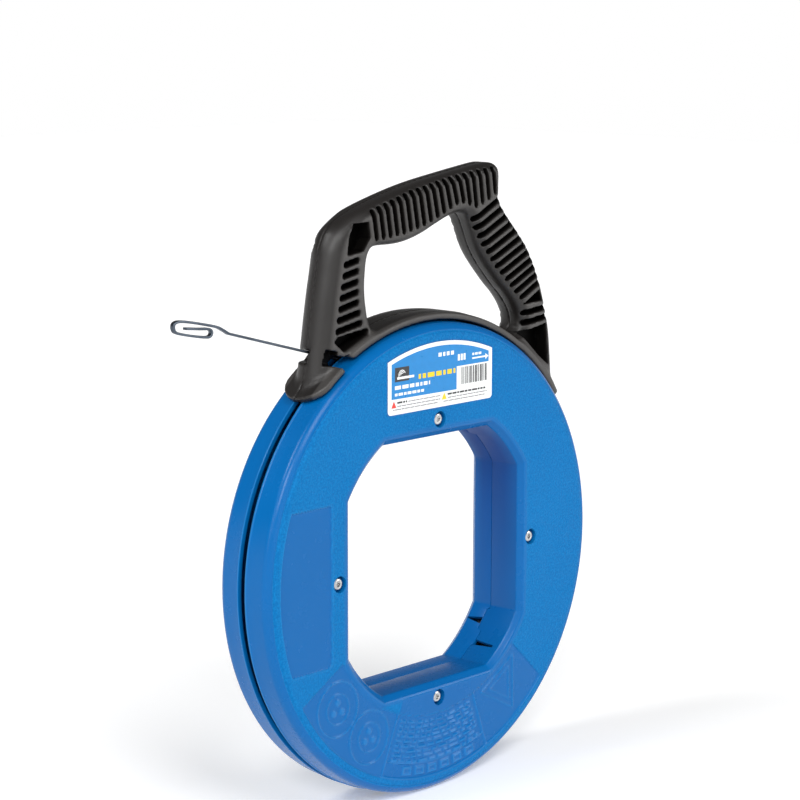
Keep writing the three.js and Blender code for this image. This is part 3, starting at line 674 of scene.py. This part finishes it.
def shell_masks(mesh, side, relief):
    """The grain attribute and the painted shade and painted highlight attributes, worked out from where
    each vertex lies.
    """
    co = vertex_array(mesh)
    x, d, z = co[:, 0], side * co[:, 1], co[:, 2]
    r, angle = np.hypot(x, z), np.arctan2(z, x)
    _, grain, raised = relief(x, z)
    outer = opening_radius(angle, OPENING_HALF + BEVEL, OPENING_R + BEVEL)
    on_face = (d > FACE_DEPTH - 1.5) & (r > outer + 1.2)
    fade = np.clip((147.2 - r) / 0.6, 0, 1)
    paint_attribute(mesh, "grain", grain * on_face * fade)
    # painted shade on the opening's walls: weak low in the opening, full towards its top
    wall = np.clip((outer - r) / BEVEL, 0, 1) * np.clip((FACE_DEPTH - BEVEL_DEPTH[side] - d) / 1.2, 0, 1)
    paint_attribute(mesh, "painted_wall_shade", wall * np.clip(0.6 + 0.5 * z / OPENING_HALF, 0, 1))
    lip = np.exp(-((r - RIM_R) / 0.25) ** 2) * (np.abs(d - SLOT_HALF - 0.6) < 0.7)
    crest = np.exp(-((r - outer - 0.6) / 0.5) ** 2) * (d > FACE_DEPTH - 0.8)
    # painted highlights: a bright line on the lip at the rim's slot, on the bevel's outer edge and on the
    # face's raised lines
    paint_attribute(mesh, "painted_highlight", 0.5 * lip + 0.35 * crest + 0.6 * raised * on_face)


def wedge(at, wide_y, thin_y, wide_half, thin_half):
    """A wedge-shaped cutter through the opening's wall, for a latch slot."""
    direction = Vector((math.cos(math.radians(at)), 0, math.sin(math.radians(at))))
    along = Vector((-direction.z, 0, direction.x))
    section = [(-wide_half, wide_y), (wide_half, wide_y), (thin_half, thin_y), (-thin_half, thin_y)]
    verts = [direction * r + along * s + Vector((0, y, 0)) for r in LATCH_R for s, y in section]
    faces = np.array([(0, 1, 2, 3), (7, 6, 5, 4), (0, 4, 5, 1), (1, 5, 6, 2), (2, 6, 7, 3), (3, 7, 4, 0)])
    verts = np.array([tuple(v) for v in verts])
    return add_object("cutter", verts, flip_if_inside_out(verts, faces), [])


def make_shell(name, side, columns, face_rows, relief, posts, cutters, node):
    verts, faces = swept_ring(shell_rows(side, columns, face_rows, relief))
    piece = add_object(name, verts, faces, [BLUE])
    combine(piece, posts, "UNION")
    combine(piece, cutters, "DIFFERENCE")
    shell_masks(piece.data, side, relief)
    finish_shading(piece.data, 34)
    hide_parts(node)
    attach(piece, "reel")


def make_case():
    inside = CASE_HALF - WALL - 0.1
    front_posts, rear_posts, front_cuts, rear_cuts = [], [], [], []
    for degrees in SCREW_DEGREES:
        x, z = on_circle(SCREW_CIRCLE_R, degrees)
        front_posts.append(post(x, z, BOSS_HEAD_R, -inside - POST_ROOT, -inside + BOSS_HEAD_DEPTH))
        front_posts.append(post(x, z, BOSS_R, -inside, SEAM_Y - SEAM_GAP))
        front_cuts.append(post(x, z, WELL_R, -CASE_HALF - 2, -CASE_HALF + WELL_DEPTH, 64))
        front_cuts.append(post(x, z, SCREW_BORE_R, -CASE_HALF + 3, SEAM_Y + 1))
        rear_posts.append(post(x, z, BOSS_R, SEAM_Y + SEAM_GAP, inside + POST_ROOT))
        rear_cuts.append(post(x, z, SCREW_BORE_R, 0, inside - 2))
    x, z = middle_of("tape_anchor_screw")
    rear_posts.append(post(x, z, ANCHOR_POST_R, ANCHOR_POST_LOW, inside + POST_ROOT))
    rear_cuts.append(post(x, z, ANCHOR_BORE_R, 0, ANCHOR_BORE_END))
    columns, rows = ((880, 58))
    make_shell("case_front", -1, columns, rows, front_relief, front_posts,
               [*front_cuts, wedge(*FRONT_LATCH)], "case_front_shell")
    make_shell("case_rear", 1, columns // 2, 30, rear_relief, rear_posts,
               [*rear_cuts, wedge(*REAR_LATCH)], "case_rear_shell")


# ---------- screws

def make_screw(node, x, z, look, head_r, head_h, shank_r, body):
    """A pan-head screw with a six-sided socket and a thread, its head looking along look."""
    low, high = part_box(node)
    head_end, far_end = (low.y, high.y) if look < 0 else (high.y, low.y)
    seat = head_end / MM - look * head_h
    length = abs(far_end / MM - seat)
    pitch = 1.5
    profile = [(0, 0.25 * head_h)]
    socket_r = head_r * 0.44
    profile += [(socket_r * 0.96, 0.25 * head_h), (socket_r, 0.3 * head_h), (socket_r, 0.86 * head_h),
                (socket_r + 0.28, 0.95 * head_h)]
    socket_rows = len(profile)
    profile += [(head_r * 0.62, head_h), (head_r * 0.8, 0.94 * head_h), (head_r * 0.93, 0.78 * head_h),
                (head_r, 0.52 * head_h), (head_r, 0.08 * head_h), (head_r - 0.15, 0), (shank_r, 0)]
    depth = 1.0
    while depth < length - shank_r:
        profile += [(shank_r * 0.78, -depth), (shank_r, -depth - pitch / 2)]
        depth += pitch
    profile += [(shank_r * 0.7, -length + shank_r * 0.9), (0, -length)]

    def hexed(k, r, angle):
        if k >= socket_rows:
            return np.full(len(angle), r)
        flat = np.cos(math.pi / 6) / np.cos((angle % (math.pi / 3)) - math.pi / 6)
        return r * flat

    verts, faces = lathe(profile, 48, hexed)
    if look < 0:
        verts = verts * np.array([1, -1, 1])
    else:
        faces = [tuple(reversed(f)) for f in faces]
    verts = verts + np.array([x, seat, z])
    piece = add_object(f"{node}_fine", verts, faces, [ZINC], sharp=28)
    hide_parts(node)
    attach(piece, body)


def make_screws():
    for place, degrees in (("top", 90), ("right", 0), ("bottom", 270), ("left", 180)):
        x, z = on_circle(SCREW_CIRCLE_R, degrees)
        make_screw(f"case_screw_{place}", x, z, -1, 3.9, 2.4, 2.0, "reel")
    for node in HANDLE_SCREWS:
        make_screw(node, *middle_of(node), 1, 3.0, 2.0, 1.7, "handle")


# ---------- label

# ink, X from and to, Z, height, the seed of the dashes' lengths and the longest dash
TITLE_ROWS = (("yellow", -20.0, 14.4, 118.7, 3.0, 3, 7.5), ("white", -41.7, -9.4, 114.2, 2.3, 5, 6.5),
              ("white", -41.7, -13.7, 110.2, 1.7, 8, 4.0), ("white", -1.6, 13.9, 130.6, 2.5, 9, 3.2),
              ("white", 30.7, 40.0, 128.1, 1.5, 11, 3.4))
NOTE_ROWS = (("ink", -39.5, -30.5, 105.3, 1.2, 31, 5.0), ("grey", -29.5, 0.4, 105.4, 0.7, 32, 6.0),
             ("grey", -39.5, 0.4, 103.3, 0.75, 33, 6.0), ("grey", -43.5, -1.6, 101.3, 0.75, 34, 6.0),
             ("ink", 7.2, 45.0, 105.3, 1.2, 37, 5.0), ("grey", 7.2, 45.0, 103.3, 0.75, 39, 6.0),
             ("grey", 3.2, 43.0, 101.3, 0.75, 40, 6.0))
BAR_WIDTHS = (0.35, 0.5, 0.75, 1.1)
BAR_GAPS = (0.4, 0.55, 0.85)
LABEL_FRONT = -FACE_DEPTH + 0.18
# each ink's colour and how far it stands out of the film, so that one lies on top of another
INKS = {"white": ((0.88, 0.9, 0.9), 0.045), "cyan": ((0.002, 0.215, 0.56), 0.02),
        "ink": ((0.028, 0.028, 0.03), 0.04), "grey": ((0.3, 0.3, 0.31), 0.04),
        "yellow": ((0.86, 0.6, 0.01), 0.045), "red": ((0.75, 0.045, 0.03), 0.045)}


def bar(x0, x1, z, height):
    """A level bar from x0 to x1 on its lower edge's z."""
    return [(x0, z), (x1, z), (x1, z + height), (x0, z + height)]


def dashes(x0, x1, z, height, seed, longest):
    rng = np.random.default_rng(seed)
    out = []
    x = x0
    while x < x1 - 1:
        end = min(x + rng.uniform(1.6, longest), x1)
        out.append(bar(x, end, z, height))
        x = end + height * 0.55
    return out


def label_shapes():
    """(material key, outline) of every printed shape. Nothing printed is a letter or a known mark."""
    top = LABEL["top_r"] - 2.7
    a0, a1 = (math.degrees(math.acos(v / top)) for v in (46.7, -44.7))
    shapes = [("cyan", [(-44.7, 108.3), (15.8, 107.9), (15.8, 122.6), (46.7, 122.6)]
               + arc(0, 0, top, a0, a1, 28))]
    shapes.append(("ink", bar(-41.7, -28.7, 119.0, 8.9)))
    for k in range(3):
        edges = [arc(-35.2, 122.9, r - k * 0.95, 20 + 15 * k, 200 - 10 * k, 12) for r in (3.3, 2.8)]
        shapes.append(("white", edges[0] + edges[1][::-1]))
    shapes.append(("white", bar(-39.6, -24.2, 120.4, 1.5)))
    shapes += [("white", bar(16.8 + 2.7 * k, 18.7 + 2.7 * k, 126.1, 4.1)) for k in range(3)]
    shapes.append(("white", [(30.6, 125.7), (43.4, 125.7), (43.4, 124.3), (46.4, 126.2), (43.4, 128.1),
                             (43.4, 126.7), (30.6, 126.7)]))
    for ink, *row in TITLE_ROWS + NOTE_ROWS:
        shapes += [(ink, dash) for dash in dashes(*row)]
    rng = np.random.default_rng(21)
    x = 19.9
    while x < 44.6:
        width = rng.choice(BAR_WIDTHS)
        shapes.append(("ink", bar(x, x + width, 110.6, 11.0)))
        x += width + rng.choice(BAR_GAPS)
    shapes.append(("red", [(-44.9, 102.9), (-40.3, 102.9), (-42.6, 107.3)]))
    shapes.append(("yellow", [(1.6, 102.9), (6.4, 102.9), (4.0, 107.3)]))
    return shapes


def make_label():
    keys = list(INKS)
    verts, faces, slots = [], [], []

    def add(outline, y0, y1, key):
        v, f = prism(outline, y0, y1)
        faces.extend(tuple(i + len(verts) for i in face) for face in f)
        verts.extend(v)
        slots.extend([keys.index(key)] * len(f))

    add(label_outline(0.1), LABEL_FRONT, LABEL_FRONT + 0.26, "white")
    for key, outline in label_shapes():
        add(outline, LABEL_FRONT - INKS[key][1], LABEL_FRONT + 0.05, key)
    materials = [printed(f"label_{key}", colour) for key, (colour, _) in INKS.items()]
    piece = add_object("case_label_print", verts, faces, materials, slots, sharp=20)
    recalculate_normals(piece)
    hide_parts("case_label")
    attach(piece, "reel")


def recalculate_normals(piece):
    bm = bmesh.new()
    bm.from_mesh(piece.data)
    bmesh.ops.recalc_face_normals(bm, faces=bm.faces)
    bm.to_mesh(piece.data)
    bm.free()
    piece.data.update()


# ---------- tape

# the hook eye from its first bend to its free end, by listed points
HOOK = [(-165.6, 162), (-171, 164.4), (-184.1, 167.5), (-194.9, 169.6), (-200.4, 170), (-203.3, 168.9),
        (-203.5, 166), (-200.9, 163.6), (-189.2, 160.8), (-178.5, 159), (-175.2, 159.6), (-174.4, 161.9),
        (-176.7, 163.6), (-184.2, 164.4), (-194.5, 165.6)]
HOOK_STEPS = 150
STRAIGHT_STEPS = 40
STRIP_ROUND = 0.42
COIL_INNER_R = 99.5
COIL_TURNS = 8
COIL_LAYERS = 7
COIL_NOTCH = 0.35
COIL_STEPS = 288


def strip_object(name, path, node, body):
    """A flat strip with rounded edges along a path in X and Z. Its width runs along Y."""
    path = np.asarray(path)
    tangent = np.gradient(path, axis=0)
    tangent /= np.linalg.norm(tangent, axis=1)[:, None]
    normal = np.stack([-tangent[:, 1], tangent[:, 0]], -1)
    w, t = TAPE_WIDTH / 2 - STRIP_ROUND, TAPE_THICK / 2 - STRIP_ROUND
    section = []
    for cy, ct, start in ((w, t, 0), (-w, t, 90), (-w, -t, 180), (w, -t, 270)):
        section += arc(cy, ct, STRIP_ROUND, start, start + 90, 4)
    m = len(section)
    verts = []
    for (px, pz), (nx, nz) in zip(path, normal):
        verts += [(px + nx * s, y, pz + nz * s) for y, s in section]
    faces = []
    for i in range(len(path) - 1):
        for j in range(m):
            k = (j + 1) % m
            faces.append((i * m + j, i * m + k, (i + 1) * m + k, (i + 1) * m + j))
    faces.append(tuple(reversed(range(m))))
    faces.append(tuple(range((len(path) - 1) * m, len(path) * m)))
    piece = add_object(name, verts, faces, [TAPE], sharp=40)
    recalculate_normals(piece)
    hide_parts(node)
    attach(piece, body)


def make_tape_lead():
    tangent = on_circle(TAPE_LINE_R, 90 - TAPE_RISE)
    rise = math.radians(TAPE_RISE)
    end = (tangent[0] - TAPE_STRAIGHT * math.cos(rise), tangent[1] + TAPE_STRAIGHT * math.sin(rise))
    straight = np.linspace(tangent, end, STRAIGHT_STEPS)[:-1]
    path = np.vstack([straight, smooth_path([end, *HOOK], HOOK_STEPS)])
    strip_object("tape_lead_hook", path, "tape_lead", "tape_end")


def make_coil():
    """The wound tape: turns side by side and layer on layer, as a closed ring with a turn's edges."""
    inner_r, outer_r = COIL_INNER_R, COIL_BOX[1].x / MM
    half = COIL_BOX[1].y / MM
    width, thick = 2 * half / COIL_TURNS, (outer_r - inner_r) / COIL_LAYERS
    notch = COIL_NOTCH
    profile = []
    for k in range(COIL_TURNS):
        y = -half + width * k
        profile += [(outer_r - notch, y), (outer_r, y + notch), (outer_r, y + width - notch)]
    for k in range(COIL_LAYERS):
        r = outer_r - thick * k
        profile += [(r - notch, half), (r - thick + notch, half), (r - thick, half - notch * 0.8)]
    for k in range(COIL_TURNS):
        y = half - width * k
        profile += [(inner_r, y - notch), (inner_r, y - width + notch), (inner_r + notch, y - width)]
    for k in range(COIL_LAYERS):
        r = inner_r + thick * k
        profile += [(r + notch, -half), (r + thick - notch, -half), (r + thick, -half + notch * 0.8)]
    angle = np.linspace(0, 2 * math.pi, COIL_STEPS, endpoint=False)
    rows = [np.stack([r * np.cos(angle), np.full(COIL_STEPS, y), r * np.sin(angle)], -1)
            for r, y in profile]
    verts, faces = swept_ring(rows)
    piece = add_object("tape_turns", verts, faces, [TAPE], sharp=30)
    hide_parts("tape_coil")
    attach(piece, "reel")


# ---------- handle

# the handle's outlines, rib rows and cuts, in X and Z
HANDLE_OUTER = [(-101.5, 115), (-96.6, 144), (-94.3, 159), (-91.6, 175), (-88.8, 189), (-86.2, 202),
                (-83, 209.6), (-79.4, 214.6), (-73, 219), (-61, 224.3), (-48, 228.5), (-32, 232.8),
                (-16, 236.6), (0, 239.7), (20, 242.8), (40, 245.7), (56, 247.9), (63.4, 248.4),
                (68.6, 247), (71.4, 242), (71.4, 231), (71.6, 225.8), (74.4, 220.6), (81.9, 211.9),
                (91, 202.6), (100.3, 192), (107.8, 180.2), (112.9, 169.6), (116.7, 159.4),
                (120.7, 146.8), (123.8, 134), (125.7, 118), (127.1, 100), (127.6, 93)]
HANDLE_INNER = [(-53.2, 159.5), (-54.2, 165), (-55.3, 172), (-55.6, 180), (-55, 188), (-53.9, 195),
                (-51.6, 199.8), (-48.2, 202), (-43, 202.6), (-33, 202.5), (-24, 202.9), (-14, 204.5),
                (-3, 207.6), (8, 211.8), (20, 216.1), (30, 218.4), (36, 217.8), (40.6, 214.6),
                (45, 206.5), (50, 196), (56, 187), (65, 177), (74, 168), (82, 160.8), (88.5, 153.5),
                (91.8, 148), (93, 143), (92.4, 138.5)]
TOP_ROW_UPPER = [(-49.7, 223.5), (-13.9, 233.1), (22.7, 239.6), (61.9, 244.1)]
TOP_ROW_LOWER = [(-46.9, 207.6), (-22.8, 210), (-4.7, 213.7), (13.6, 220.1), (25.8, 225.1),
                 (31.4, 226.1), (37.8, 225), (44.3, 221.8), (50.4, 223.9), (57.8, 226.7), (63.9, 230)]
REAR_ROW_INNER = [(45.3, 213.5), (53.7, 198), (65.1, 184), (78.7, 171.5), (91.9, 159.2)]
REAR_ROW_OUTER = [(68.1, 224.9), (80.8, 210.3), (92.9, 196.4), (103, 182.6), (110.4, 168.4)]
FRONT_ROW_LEFT = [(-74.4, 193.4), (-81.6, 153.4)]
FRONT_ROW_RIGHT = [(-64, 195.5), (-64.8, 182.4), (-64.4, 169.8), (-61.5, 156.9)]
LONE_SLOTS = [((95.6, 148.2), (116.6, 150.4)), ((95.8, 141.6), (118, 144.2))]
POCKETS = [
    [(-53.9, 218.3), (-66, 217.4), (-71.5, 209.1), (-73.1, 198.8), (-58.5, 200.6), (-52.2, 208.3)],
    [(-84.6, 147.2), (-81.6, 150.1), (-55.9, 153.1), (-54.4, 151.9), (-55.9, 148.8), (-76.1, 140.4)],
    [(93.3, 154.1), (113.3, 155.1), (110, 162.9)],
    [(89.6, 135.8), (107.8, 119.6), (120, 111), (117.6, 139.8), (105.4, 137.6)],
]
SLOT_HALF_WIDTH = 1.85
WALL_KEPT = 1.7
TAPE_NOTCH = [(-82, 138.9), (-120, 149.3), (-120, 134.9), (-86.4, 134.4)]
TAPE_NOTCH_Y = -1.6
TAPE_WINDOW = [(-90.5, 143.3), (-93, 133.8), (-84.1, 132.4), (-80.6, 129.2), (-68.6, 134.5),
               (-68.6, 136.2), (-81.6, 138.7), (-81.6, 141.3)]
TAPE_WINDOW_Y = -5.0
TAPE_WAY_AT = (-84, 138.1)
TAPE_WAY_HALF_LENGTH = 20
TAPE_WAY_HALF_WIDTH = 2.3
TAPE_WAY_HALF_HEIGHT = 1.2
WEB = 2.0
OUTER_ROUND = 8.5
NOSE_EXTRA = 3.9
INNER_ROUND = 5.5
REAR_EXTRA = 3.0
TOP_ROW_COUNT = 19
REAR_ROW_COUNT = 12
FRONT_ROW_COUNT = 7
RAIL_SPANS = ((42, 112), (122.8, 129.6))
# radii from and to, and half-width, of a rail's web and flange
RAIL_SECTIONS = ((147, 154, 2.3), (143.5, 148.9, 7))
BASE_ROUND = 1.3
FOOT_ROUND = 1.0
BASE_BLEND = 6.0
FOOT_BLEND = 3.5
HOLLOW_ROUND = 0.7
WAY_ROUND = 0.6
HOLE_ROUND = 0.4
HOLE_R = 2.1
HOLE_END_Y = -5.5
HEAD_WELL_R = 3.5
HEAD_WELL_DEPTH = 2.3
# the grid's reach round half of the handle: X, Z, and Y away from the seam
GRID_X = (-110.0, 130.5)
GRID_Z = (86.0, 251.0)
GRID_Y = (-1.5, 20.0)


def step_along(points, t):
    s = t * (len(points) - 1)
    i = min(int(s), len(points) - 2)
    f = s - i
    return tuple(points[i][k] * (1 - f) + points[i + 1][k] * f for k in range(2))


def rib_slots():
    """The two ends of every slot between the finger ribs."""
    slots = list(LONE_SLOTS)
    low_x, low_z = zip(*TOP_ROW_LOWER)
    for i in range(TOP_ROW_COUNT):
        x = low_x[0] + (low_x[-1] - low_x[0]) * i / (TOP_ROW_COUNT - 1)
        upper = step_along(TOP_ROW_UPPER, i / (TOP_ROW_COUNT - 1))
        slots.append(((x, float(np.interp(x, low_x, low_z))), upper))
    for start_line, end_line, count in ((REAR_ROW_INNER, REAR_ROW_OUTER, REAR_ROW_COUNT),
                                        (FRONT_ROW_LEFT, FRONT_ROW_RIGHT, FRONT_ROW_COUNT)):
        for i in range(count):
            t = i / (count - 1)
            slots.append((step_along(start_line, t), step_along(end_line, t)))
    return slots


def hollows_flat(x, z):
    """Signed distance to the slots and pockets, seen from the side."""
    slots = [dist_segment(x, z, a, b) - SLOT_HALF_WIDTH for a, b in rib_slots()]
    return np.minimum.reduce(slots + [dist_polygon(x, z, pocket) for pocket in POCKETS])


def smooth_union(a, b, k):
    h = np.clip(0.5 + 0.5 * (b - a) / k, 0, 1)
    return b * (1 - h) + a * h - k * h * (1 - h)


def smooth_cut(a, b, k):
    """a with b taken away, the edge between them rounded."""
    return -smooth_union(-a, b, k)


def rounded_slab(flat, y, half, radius):
    """A flat field made solid to +-half, its edges rounded by radius."""
    qx, qy = flat + radius, np.abs(y) - half + radius
    return np.hypot(np.maximum(qx, 0), np.maximum(qy, 0)) + np.minimum(np.maximum(qx, qy), 0) - radius


class Grid:
    """A regular grid of points round half of the handle, in millimetres."""

    def __init__(self, side, pitch):
        self.side, self.pitch = side, pitch
        y_low, y_high = sorted(side * y for y in GRID_Y)
        self.origin = np.array([GRID_X[0], y_low, GRID_Z[0]])
        top = np.array([GRID_X[1], y_high, GRID_Z[1]])
        counts = np.ceil((top - self.origin) / pitch).astype(int)
        axes = [self.origin[k] + pitch * np.arange(counts[k]) for k in range(3)]
        self.x2, self.z2 = np.meshgrid(axes[0], axes[2], indexing="ij")
        self.y = axes[1][None, :, None].astype(np.float32)
        self.r2 = np.hypot(self.x2, self.z2)
        self.a2 = np.arctan2(self.z2, self.x2)

    def lift(self, flat):
        return flat[:, None, :].astype(np.float32)

    def mesh(self, field):
        band = 3 * self.pitch
        grid = openvdb.FloatGrid(band)
        grid.copyFromArray(np.ascontiguousarray(np.clip(field, -band, band), np.float32))
        verts, quads = grid.convertToQuads(0.0)
        return verts * self.pitch + self.origin, quads.astype(np.int64)


def grip_fields(g):
    """The grip loop's flat field and its edge radius at each point."""
    outer_line = smooth_path(HANDLE_OUTER, 240).tolist() + arc(0, 0, 140, 36, 128, 12)
    inner_line = smooth_path(HANDLE_INNER, 180).tolist() + arc(0, 0, 155.5, 57, 108, 24)
    outer = dist_polygon(g.x2, g.z2, outer_line)
    inner = dist_polygon(g.x2, g.z2, inner_line)
    flat = np.maximum(outer, -inner)
    # half-round along the nose, and a generous round on the rest of the outside and the rear leg
    nose = step(g.x2 + 67, 22)
    rear = step(38 - g.x2, 16)
    outer_r = OUTER_ROUND + NOSE_EXTRA * nose
    inner_r = INNER_ROUND + REAR_EXTRA * rear
    nearer = step(np.abs(outer) - np.abs(inner), 8)
    return flat, inner_r + (outer_r - inner_r) * nearer


def base_field(g):
    ring = dist_sector(g.r2, g.a2, *BASE_R, *BASE_DEG)
    return rounded_slab(g.lift(ring), g.y, BASE_HALF, BASE_ROUND)


def foot_field(g):
    """A tongue on the rim, straight-sided and then half an ellipse to its free end."""
    start, bend, end = (math.radians(a) for a in FOOT_DEG)
    past = np.clip((g.a2 - bend) / (end - bend), 0, 1)
    half = g.lift(FOOT_HALF[g.side] * np.sqrt(1 - past**2))
    slope = g.lift(0.2 + 0.8 * np.sqrt(1 - past**2))
    across = (np.abs(g.y) - half) * slope
    ends = g.lift(np.maximum(start - g.a2, g.a2 - end) * FOOT_R[1])
    shape = np.maximum(across, ends) + FOOT_ROUND
    radial = g.lift(np.abs(g.r2 - sum(FOOT_R) / 2) - (FOOT_R[1] - FOOT_R[0]) / 2) + FOOT_ROUND
    corner = np.hypot(np.maximum(shape, 0), np.maximum(radial, 0))
    return corner + np.minimum(np.maximum(shape, radial), 0) - FOOT_ROUND


def rails_field(g):
    """The T-shaped rails that run in the rim's slot."""
    parts = []
    for start, end in RAIL_SPANS:
        for low, high, half in RAIL_SECTIONS:
            flat = dist_sector(g.r2, g.a2, low, high, start, end)
            parts.append(np.maximum(g.lift(flat), np.abs(g.y) - half))
    return np.minimum.reduce(parts)


def tape_way_field(g):
    """The tape's own way through the leg, along its line."""
    rise = math.radians(TAPE_RISE)
    x, z = g.x2 - TAPE_WAY_AT[0], g.z2 - TAPE_WAY_AT[1]
    up = np.abs(x * math.sin(rise) + z * math.cos(rise)) - TAPE_WAY_HALF_HEIGHT
    along = np.abs(x * math.cos(rise) - z * math.sin(rise)) - TAPE_WAY_HALF_LENGTH
    return np.maximum(np.maximum(g.lift(up), np.abs(g.y) - TAPE_WAY_HALF_WIDTH), g.lift(along))


def handle_field(g):
    """Half of the handle as one distance field: grip, base, foot and rails, less what is cut out."""
    flat, radius = grip_fields(g)
    body = rounded_slab(g.lift(flat), g.y, HANDLE_HALF, g.lift(radius))
    below = g.lift(BASE_R[0] - g.r2)
    body = np.maximum(smooth_union(body, base_field(g), BASE_BLEND), below)
    body = np.maximum(smooth_union(body, foot_field(g), FOOT_BLEND), below)

    hollows = np.maximum(hollows_flat(g.x2, g.z2), flat + WALL_KEPT)
    body = smooth_cut(body, np.maximum(g.lift(hollows), WEB - np.abs(g.y)), HOLLOW_ROUND)
    body = np.minimum(body, rails_field(g))

    # the notch is on the far side of the leg and the window on its near side
    notch = np.maximum(g.lift(dist_polygon(g.x2, g.z2, TAPE_NOTCH)), TAPE_NOTCH_Y - g.y)
    window = np.maximum(g.lift(dist_polygon(g.x2, g.z2, TAPE_WINDOW)), g.y - TAPE_WINDOW_Y)
    gap = g.lift(dist_sector(g.r2, g.a2, 140, 157.7, BASE_DEG[1], FOOT_DEG[0]))
    cuts = np.minimum(np.minimum(tape_way_field(g), notch), np.minimum(window, gap))
    body = smooth_cut(body, cuts, WAY_ROUND)
    body = screw_holes(g, body)
    return np.maximum(body, HANDLE_SEAM - g.side * g.y)


def screw_holes(g, body):
    for node in HANDLE_SCREWS:
        x, z = middle_of(node)
        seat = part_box(node)[1].y / MM - HEAD_WELL_DEPTH
        rho = np.hypot(g.x2 - x, g.z2 - z)
        shank = np.maximum(g.lift(rho - HOLE_R), HOLE_END_Y - g.y)
        well = np.maximum(g.lift(rho - HEAD_WELL_R), seat - g.y)
        body = smooth_cut(body, np.minimum(shank, well), HOLE_ROUND)
    return body


def handle_masks(mesh):
    """Painted grey highlight on the outer rib faces, and painted shade in the slots and pockets."""
    x, y, z = vertex_array(mesh).T
    # painted highlight: grey on the outer rib faces
    paint_attribute(mesh, "painted_highlight", 0.4 * np.clip((np.abs(y) - 11.6) / 0.9, 0, 1))
    # painted shade: near black in the slots, the pockets and the tape window, below the rib faces
    window = np.where(y < 0, dist_polygon(x, z, TAPE_WINDOW), 1.0)
    hollow = np.minimum(hollows_flat(x, z), window)
    below = np.clip((11.9 - np.abs(y)) / 2.5, 0, 1)
    paint_attribute(mesh, "painted_pit_shade", below * step(hollow - 0.1, 0.5))


def make_handle():
    pitch = 0.9
    for name, node, side in (("handle_front", "handle_front_half", -1),
                             ("handle_rear", "handle_rear_half", 1)):
        g = Grid(side, pitch)
        verts, quads = g.mesh(handle_field(g))
        quads = flip_if_inside_out(verts, quads)
        piece = add_object(name, verts, quads, [BLACK], sharp=50)
        handle_masks(piece.data)
        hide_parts(node)
        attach(piece, "handle")


# ---------- carried-over nodes

def finish_cad_nodes():
    for node, material in (("tape_tail", TAPE), ("tape_anchor_clip", ZINC), ("tape_anchor_screw", ZINC)):
        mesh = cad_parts[node].data
        mesh.materials.clear()
        mesh.materials.append(material)


# ---------- camera, floor and light

CAMERA_AT = (-1.10166, -1.00684, 0.35226)
CAMERA_BACK = Vector((-0.72387, -0.66954, 0.16643))
CAMERA_RIGHT = Vector((0.679, -0.7341, 0))
CAMERA_LENS = 107.16
CAMERA_ROLL = 0.105
FLOOR_GLOW = 0.26
SKY_DIM = 0.12
FLOOR_HALF = 6.0
# name, azimuth, elevation, strength and spread of each light
SUNS = (("key", -20, 47, 1.3, 26), ("glint", -54, 30, 1.1, 15), ("front_right", 40, 16, 0.75, 26),
        ("front_left", -20, 15, 0.2, 26), ("left", -80, 18, 0.3, 20), ("left_back", -104, 46, 1.1, 18))


def make_camera():
    data = bpy.data.cameras.new("camera")
    data.lens, data.sensor_width = CAMERA_LENS, 36
    data.clip_start, data.clip_end = 0.05, 30
    camera = bpy.data.objects.new("camera", data)
    back = CAMERA_BACK.normalized()
    up = back.cross(CAMERA_RIGHT).normalized()
    right = up.cross(back)
    turn = Matrix((right, up, back)).transposed()
    roll = Matrix.Rotation(math.radians(CAMERA_ROLL), 3, "Z")
    camera.matrix_world = Matrix.Translation(CAMERA_AT) @ (turn @ roll).to_4x4()
    bpy.context.scene.collection.objects.link(camera)
    bpy.context.scene.camera = camera


def soft_sun(name, azimuth, elevation, strength, spread):
    """A broad far light: azimuth 0 is in front (-Y) and 90 is at the right (+X)."""
    data = bpy.data.lights.new(name, "SUN")
    data.energy = strength
    data.angle = math.radians(spread)
    lamp = bpy.data.objects.new(name, data)
    az, el = math.radians(azimuth), math.radians(elevation)
    away = Vector((math.sin(az) * math.cos(el), -math.cos(az) * math.cos(el), math.sin(el)))
    lamp.rotation_mode = "QUATERNION"
    lamp.rotation_quaternion = away.to_track_quat("Z", "Y")
    bpy.context.scene.collection.objects.link(lamp)


def make_floor():
    verts = [(FLOOR_HALF * x, FLOOR_HALF * y, 0) for x, y in ((-1, -1), (1, -1), (1, 1), (-1, 1))]
    mesh = bpy.data.meshes.new("floor")
    mesh.from_pydata(verts, [], [(0, 1, 2, 3)])
    material, tree, shader = node_material("floor_paper")
    paper = mix_colour(tree, noise(tree, 3), (0.9, 0.9, 0.9), (0.93, 0.93, 0.93))
    link(tree, paper, shader.inputs["Base Color"])
    shader.inputs["Roughness"].default_value = 0.9
    shader.inputs["Emission Color"].default_value = (1, 1, 1, 1)
    shader.inputs["Emission Strength"].default_value = FLOOR_GLOW
    mesh.materials.append(material)
    floor = bpy.data.objects.new("floor", mesh)
    floor.location = (0, 0, CAD_BOX[0].z)
    bpy.context.scene.collection.objects.link(floor)


def make_world():
    """Bright along the horizon, like the floor, and dim overhead."""
    world = bpy.data.worlds.new("studio")
    world.use_nodes = True
    tree = world.node_tree
    background = tree.nodes["Background"]
    coords = tree.nodes.new("ShaderNodeTexCoord")
    split = tree.nodes.new("ShaderNodeSeparateXYZ")
    link(tree, coords.outputs["Generated"], split.inputs["Vector"])
    link(tree, ramp(tree, split.outputs["Z"], 0.03, 0.22, 1.0, SKY_DIM), background.inputs["Color"])
    bpy.context.scene.world = world


def make_stage():
    make_floor()
    make_world()
    for sun in SUNS:
        soft_sun(*sun)
    bpy.context.scene.view_settings.view_transform = "Standard"


make_camera()
make_stage()
make_case()
make_screws()
make_label()
make_tape_lead()
make_coil()
make_handle()
finish_cad_nodes()
